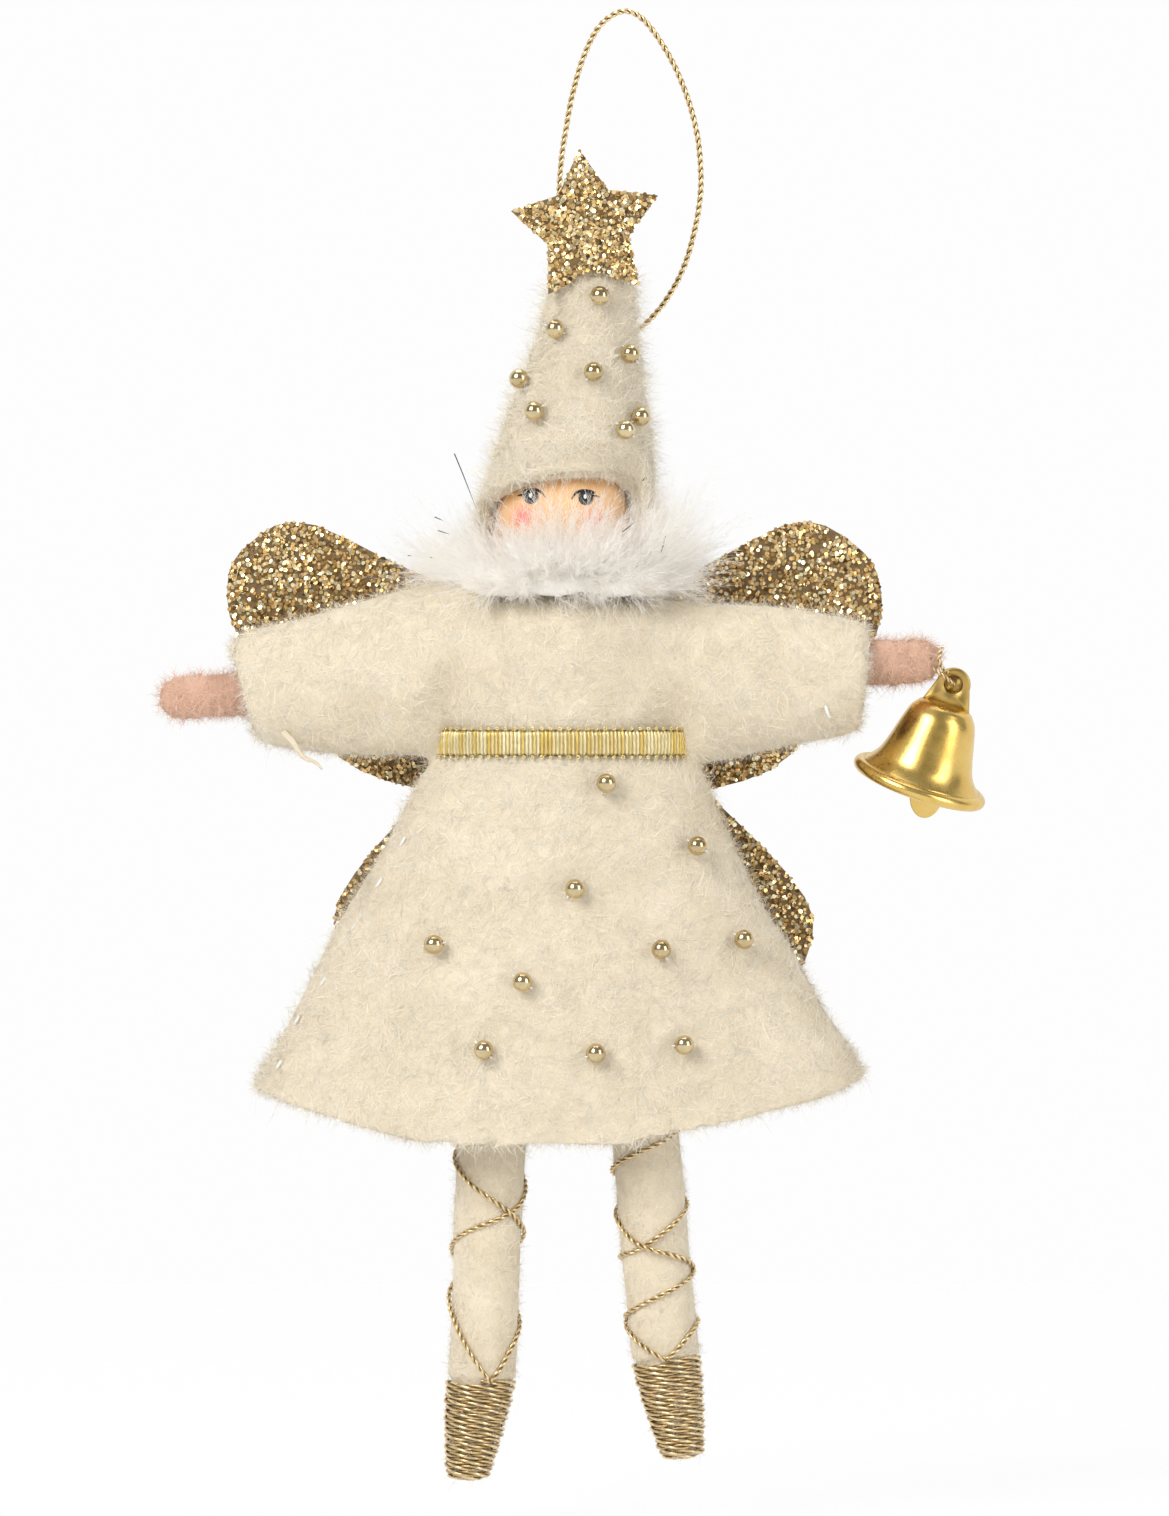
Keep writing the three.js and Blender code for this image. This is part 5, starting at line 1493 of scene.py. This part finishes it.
# Bell: a brass shell hung by its ear from a thread round the right hand
BELL_EYE = (48.80, 0.0, 7.30)
BELL_TURN, BELL_TIP = 0.33, 0.20
BELL_TOP, BELL_HEIGHT, BELL_CROWN, BELL_RIM, BELL_WALL = -3.1, 10.0, 3.5, 8.2, 0.55
BELL_FLARE = [
    (0, 0), (0.12, 0.17), (0.34, 0.31), (0.58, 0.44), (0.76, 0.58), (0.89, 0.8), (0.96, 0.98), (1, 1),
]
LIP_RADIUS, LIP_INSET = 0.8, 0.35        # the mouth's rolled edge
EAR_HOLE, EAR_RING, EAR_HALF, EAR_BEVEL = 1.2, 2.15, 0.3, 0.1
EAR_FOOT = 3.2                           # nearly as wide as the crown
TONGUE_PIVOT = -6.2                      # on the bell's axis, below the ear's hole
TONGUE_LEAN = -0.16
TONGUE_WIRE, TONGUE_RADIUS, HOOK_RADIUS = 5.0, 0.35, 0.45
TONGUE_CENTRE = 8.2                      # below the pivot
TONGUE_HALF = np.array([2.1, 0.32, 3.1])
TIE_RADIUS, TIE_CORD, TIE_LAY, TIE_RISE = 2.0, 0.6, 1.5, 0.68
TIE_TAIL = [(48.2, -1.0, 8.7), (47.4, -2.4, 9.3), (46.9, -2.9, 10.5), (47.3, -2.5, 11.9)]


def bell_placed(points, place=BELL_EYE, turn=BELL_TURN):
    """Points of the bell's own frame, tipped away from the viewer, turned and moved."""
    points = np.asarray(points, dtype=float)
    c, s = math.cos(BELL_TIP), math.sin(BELL_TIP)
    x, y, z = points[..., 0], points[..., 1], points[..., 2]
    return placed(np.stack([x, c * y - s * z, s * y + c * z], axis=-1), place, turn)


def bell_profile(inset):
    """Radius and height down the shell, with a rounded crown."""
    flare = spline([(a, b, 0) for a, b in BELL_FLARE], 6)
    radius = BELL_CROWN + (BELL_RIM - BELL_CROWN) * flare[:, 1] - inset
    z = BELL_TOP - BELL_HEIGHT * flare[:, 0]
    crown = np.linspace(0.1, 1, 9)[:-1]
    dome = np.stack([radius[0] * crown, z[0] + 0.55 * np.sqrt(1 - crown**2) - inset], axis=1)
    return np.vstack([dome, np.stack([radius, z - inset * (1 - flare[:, 0])], axis=1)])


def add_bell():
    mouth = BELL_TOP - BELL_HEIGHT
    outer, inner = bell_profile(0.0), bell_profile(BELL_WALL)
    roll = np.linspace(1.9, 0.2 - math.pi, 14)
    lip = LIP_RADIUS * np.stack([np.cos(roll), np.sin(roll)], axis=1) + [BELL_RIM - LIP_INSET, mouth]
    outer = outer[outer[:, 1] > mouth + LIP_RADIUS]
    inner = inner[inner[:, 1] > mouth + 0.1]
    profile = np.vstack([outer, lip, inner[::-1]])
    angle = round_angles(72)
    grid = np.stack([
        profile[:, :1] * np.cos(angle), profile[:, :1] * np.sin(angle), profile[:, 1:] + 0 * angle,
    ], axis=-1)
    shell = grid_object("bell_body", bell_placed(grid), BRASS, capped=True)
    declare(shell, "bell", "bell_shell")
    add_ear()
    add_tongue()
    turn = np.linspace(-0.4, 2 * np.pi + 0.3, 80)[:, None]
    rise = np.array([-math.cos(TIE_RISE), 0, math.sin(TIE_RISE)])
    swell = TIE_RADIUS + 0.12 * np.sin(turn * 0.5)
    path = node_centre("bell_tie") + swell * (np.cos(turn) * rise + np.sin(turn) * np.array([0, 1.0, 0]))
    twisted_cord("bell_thread", path, TIE_CORD, TIE_LAY, "arm_right", "bell_tie")
    twisted_cord("bell_thread_end", spline(TIE_TAIL, 8), TIE_CORD, TIE_LAY, "arm_right")


def plumb_wire(top, bottom, radius):
    """A straight wire down the bell's own axis."""
    return tube_grid(np.array([[0, 0, top], [0, 0, (top + bottom) / 2], [0, 0, bottom]]), radius, 12)


def add_ear():
    """A flat tab round a hole, which widens to its foot on the crown."""
    turn = round_angles(96)
    ray = np.stack([np.cos(turn), 0 * turn, np.sin(turn)], axis=1)
    across, down = np.abs(ray[:, 0]), np.maximum(0.001, -ray[:, 2])
    foot_drop = 0.2 - BELL_TOP
    flank = EAR_RING / np.maximum(0.001, across - down * (EAR_FOOT - EAR_RING) / foot_drop)
    reach = np.where(ray[:, 2] < 0, np.minimum(flank, foot_drop / down), EAR_RING)[:, None]
    low, high = EAR_HOLE + EAR_BEVEL, reach - EAR_BEVEL
    near, far = EAR_HALF - EAR_BEVEL, EAR_HALF
    section = [
        (EAR_HOLE, -near), (low, -far), (high, -far), (reach, -near),
        (reach, near), (high, far), (low, far), (EAR_HOLE, near), (EAR_HOLE, -near),
    ]
    grid = np.array([ray * radius + [0, y, 0] for radius, y in section])
    hook = plumb_wire(BELL_TOP, TONGUE_PIVOT, HOOK_RADIUS)
    # The ear takes the darker brass: painted shade and dark reflection.
    ear = joined_object("bell_ear_tab", [bell_placed(grid), bell_placed(hook)], EAR_SHADED_BRASS)
    outward(ear)
    declare(ear, "bell", "bell_ear")


def add_tongue():
    """The clapper: a flat oval on a short wire, which hangs out of the mouth."""
    tilt = np.linspace(0.02, math.pi - 0.02, 24)[:, None]
    angle = round_angles(40)[None, :]
    oval = np.stack([
        np.sin(tilt) * np.cos(angle), np.sin(tilt) * np.sin(angle), np.cos(tilt) + 0 * angle,
    ], axis=-1) * TONGUE_HALF - [0, 0, TONGUE_CENTRE]
    wire = plumb_wire(0, -TONGUE_WIRE, TONGUE_RADIUS)
    pivot = bell_placed([0, 0, TONGUE_PIVOT])
    grids = [bell_placed(g, pivot, -TONGUE_LEAN) for g in (oval, wire)]
    obj = joined_object("bell_tongue", grids, BRASS)
    outward(obj)
    declare(obj, "clapper", "bell_clapper")


def add_inside():
    """The padding under the tunic, which is the CAD node with its edges eased, and the wires."""
    torso = melted(linked("torso_padding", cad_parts["torso"].data.copy()), 0.6, 6)
    only_material(torso, PADDING)
    smooth_faces(torso.data)
    declare(torso, "doll", "torso")
    rumple(torso, 0.15, 0.1)
    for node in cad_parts.values():
        if "wire" in node.name:
            only_material(node, STEEL)


# Sewing
SEAM_STITCHES = [
    (-19.9, -12.2), (-22.9, -17.4), (-26.1, -23.0), (-29.9, -29.7), (-33.2, -34.6), (-35.4, -40.1),
]
WHIP_STITCHES = (-30.6, -28.9, -27.2)    # places across, under the left sleeve
STITCH_RADIUS, WHIP_RADIUS, TAIL_RADIUS = 0.2, 0.17, 0.42


def tunic_front(x, z):
    """How far forward the skirt lies at a place below the waist."""
    skirt = -z / SKIRT_SIDE_DROP
    for _ in range(12):
        across = min(1.0, abs(x) / mix(WAIST_HALF_WIDTH, HEM_HALF_WIDTH, skirt))
        skirt = -z / (SKIRT_SIDE_DROP + HEM_DIP * (1 - across**2))
    return -mix(WAIST_FRONT, HEM_FRONT, skirt) * math.sqrt(1 - across**2)


def add_stitches():
    grids = []
    for x, z in SEAM_STITCHES:
        spots = []
        for s in np.linspace(-1, 1, 7):
            at_x, at_z = x - 0.33 * s, z - 0.55 * s
            spots.append((at_x, tunic_front(at_x, at_z) - 0.45 * (1 - s * s) + 0.1, at_z))
        grids.append(tube_grid(np.array(spots), STITCH_RADIUS, 6))
    sew("seam_stitches", grids, "doll")


def add_sleeve_thread():
    """Whip stitches under the left sleeve and the thread's cut end, and one stitch on the right cuff."""
    grids = []
    for x in WHIP_STITCHES:
        path = spline([(x, -2.6, 0.3), (x + 0.4, -1.9, -0.7), (x + 0.9, -0.4, -0.8)], 5)
        grids.append(tube_grid(path, WHIP_RADIUS, 6))
    tail = spline([
        (-34.9, -4.4, 1.4), (-33.6, -4.9, 0.1), (-32.4, -4.8, -1.7), (-30.9, -4.5, -2.4), (-30.0, -4.4, -3.3),
    ], 6)
    sew("sleeve_left_stitches", grids, "arm_left")
    taper = TAIL_RADIUS * np.sqrt(np.linspace(1, 0.1, len(tail)))
    sew("sleeve_left_tail", [tube_grid(tail, taper, 9)], "arm_left", CREAM)
    stitch = spline([(32.7, -5.2, 4.6), (32.9, -5.6, 3.9), (33.2, -4.9, 3.2)], 5)
    sew("sleeve_right_stitch", [tube_grid(stitch, STITCH_RADIUS, 6)], "arm_right")


def sew(name, grids, body, material=THREAD_WHITE):
    declare(joined_object(name, grids, material), body)


def main():
    bpy.context.scene.view_settings.view_transform = "Standard"
    add_camera()
    add_lights()
    add_stage()
    add_hanger()
    dress, sleeves = add_tunic()
    hat = add_hat()
    add_head()
    add_collar()
    add_glitter()
    add_belt()
    add_beads()
    for name in ("left", "right"):
        add_arm(name)
        add_leg(name)
    add_bell()
    add_inside()
    add_stitches()
    add_sleeve_thread()


main()
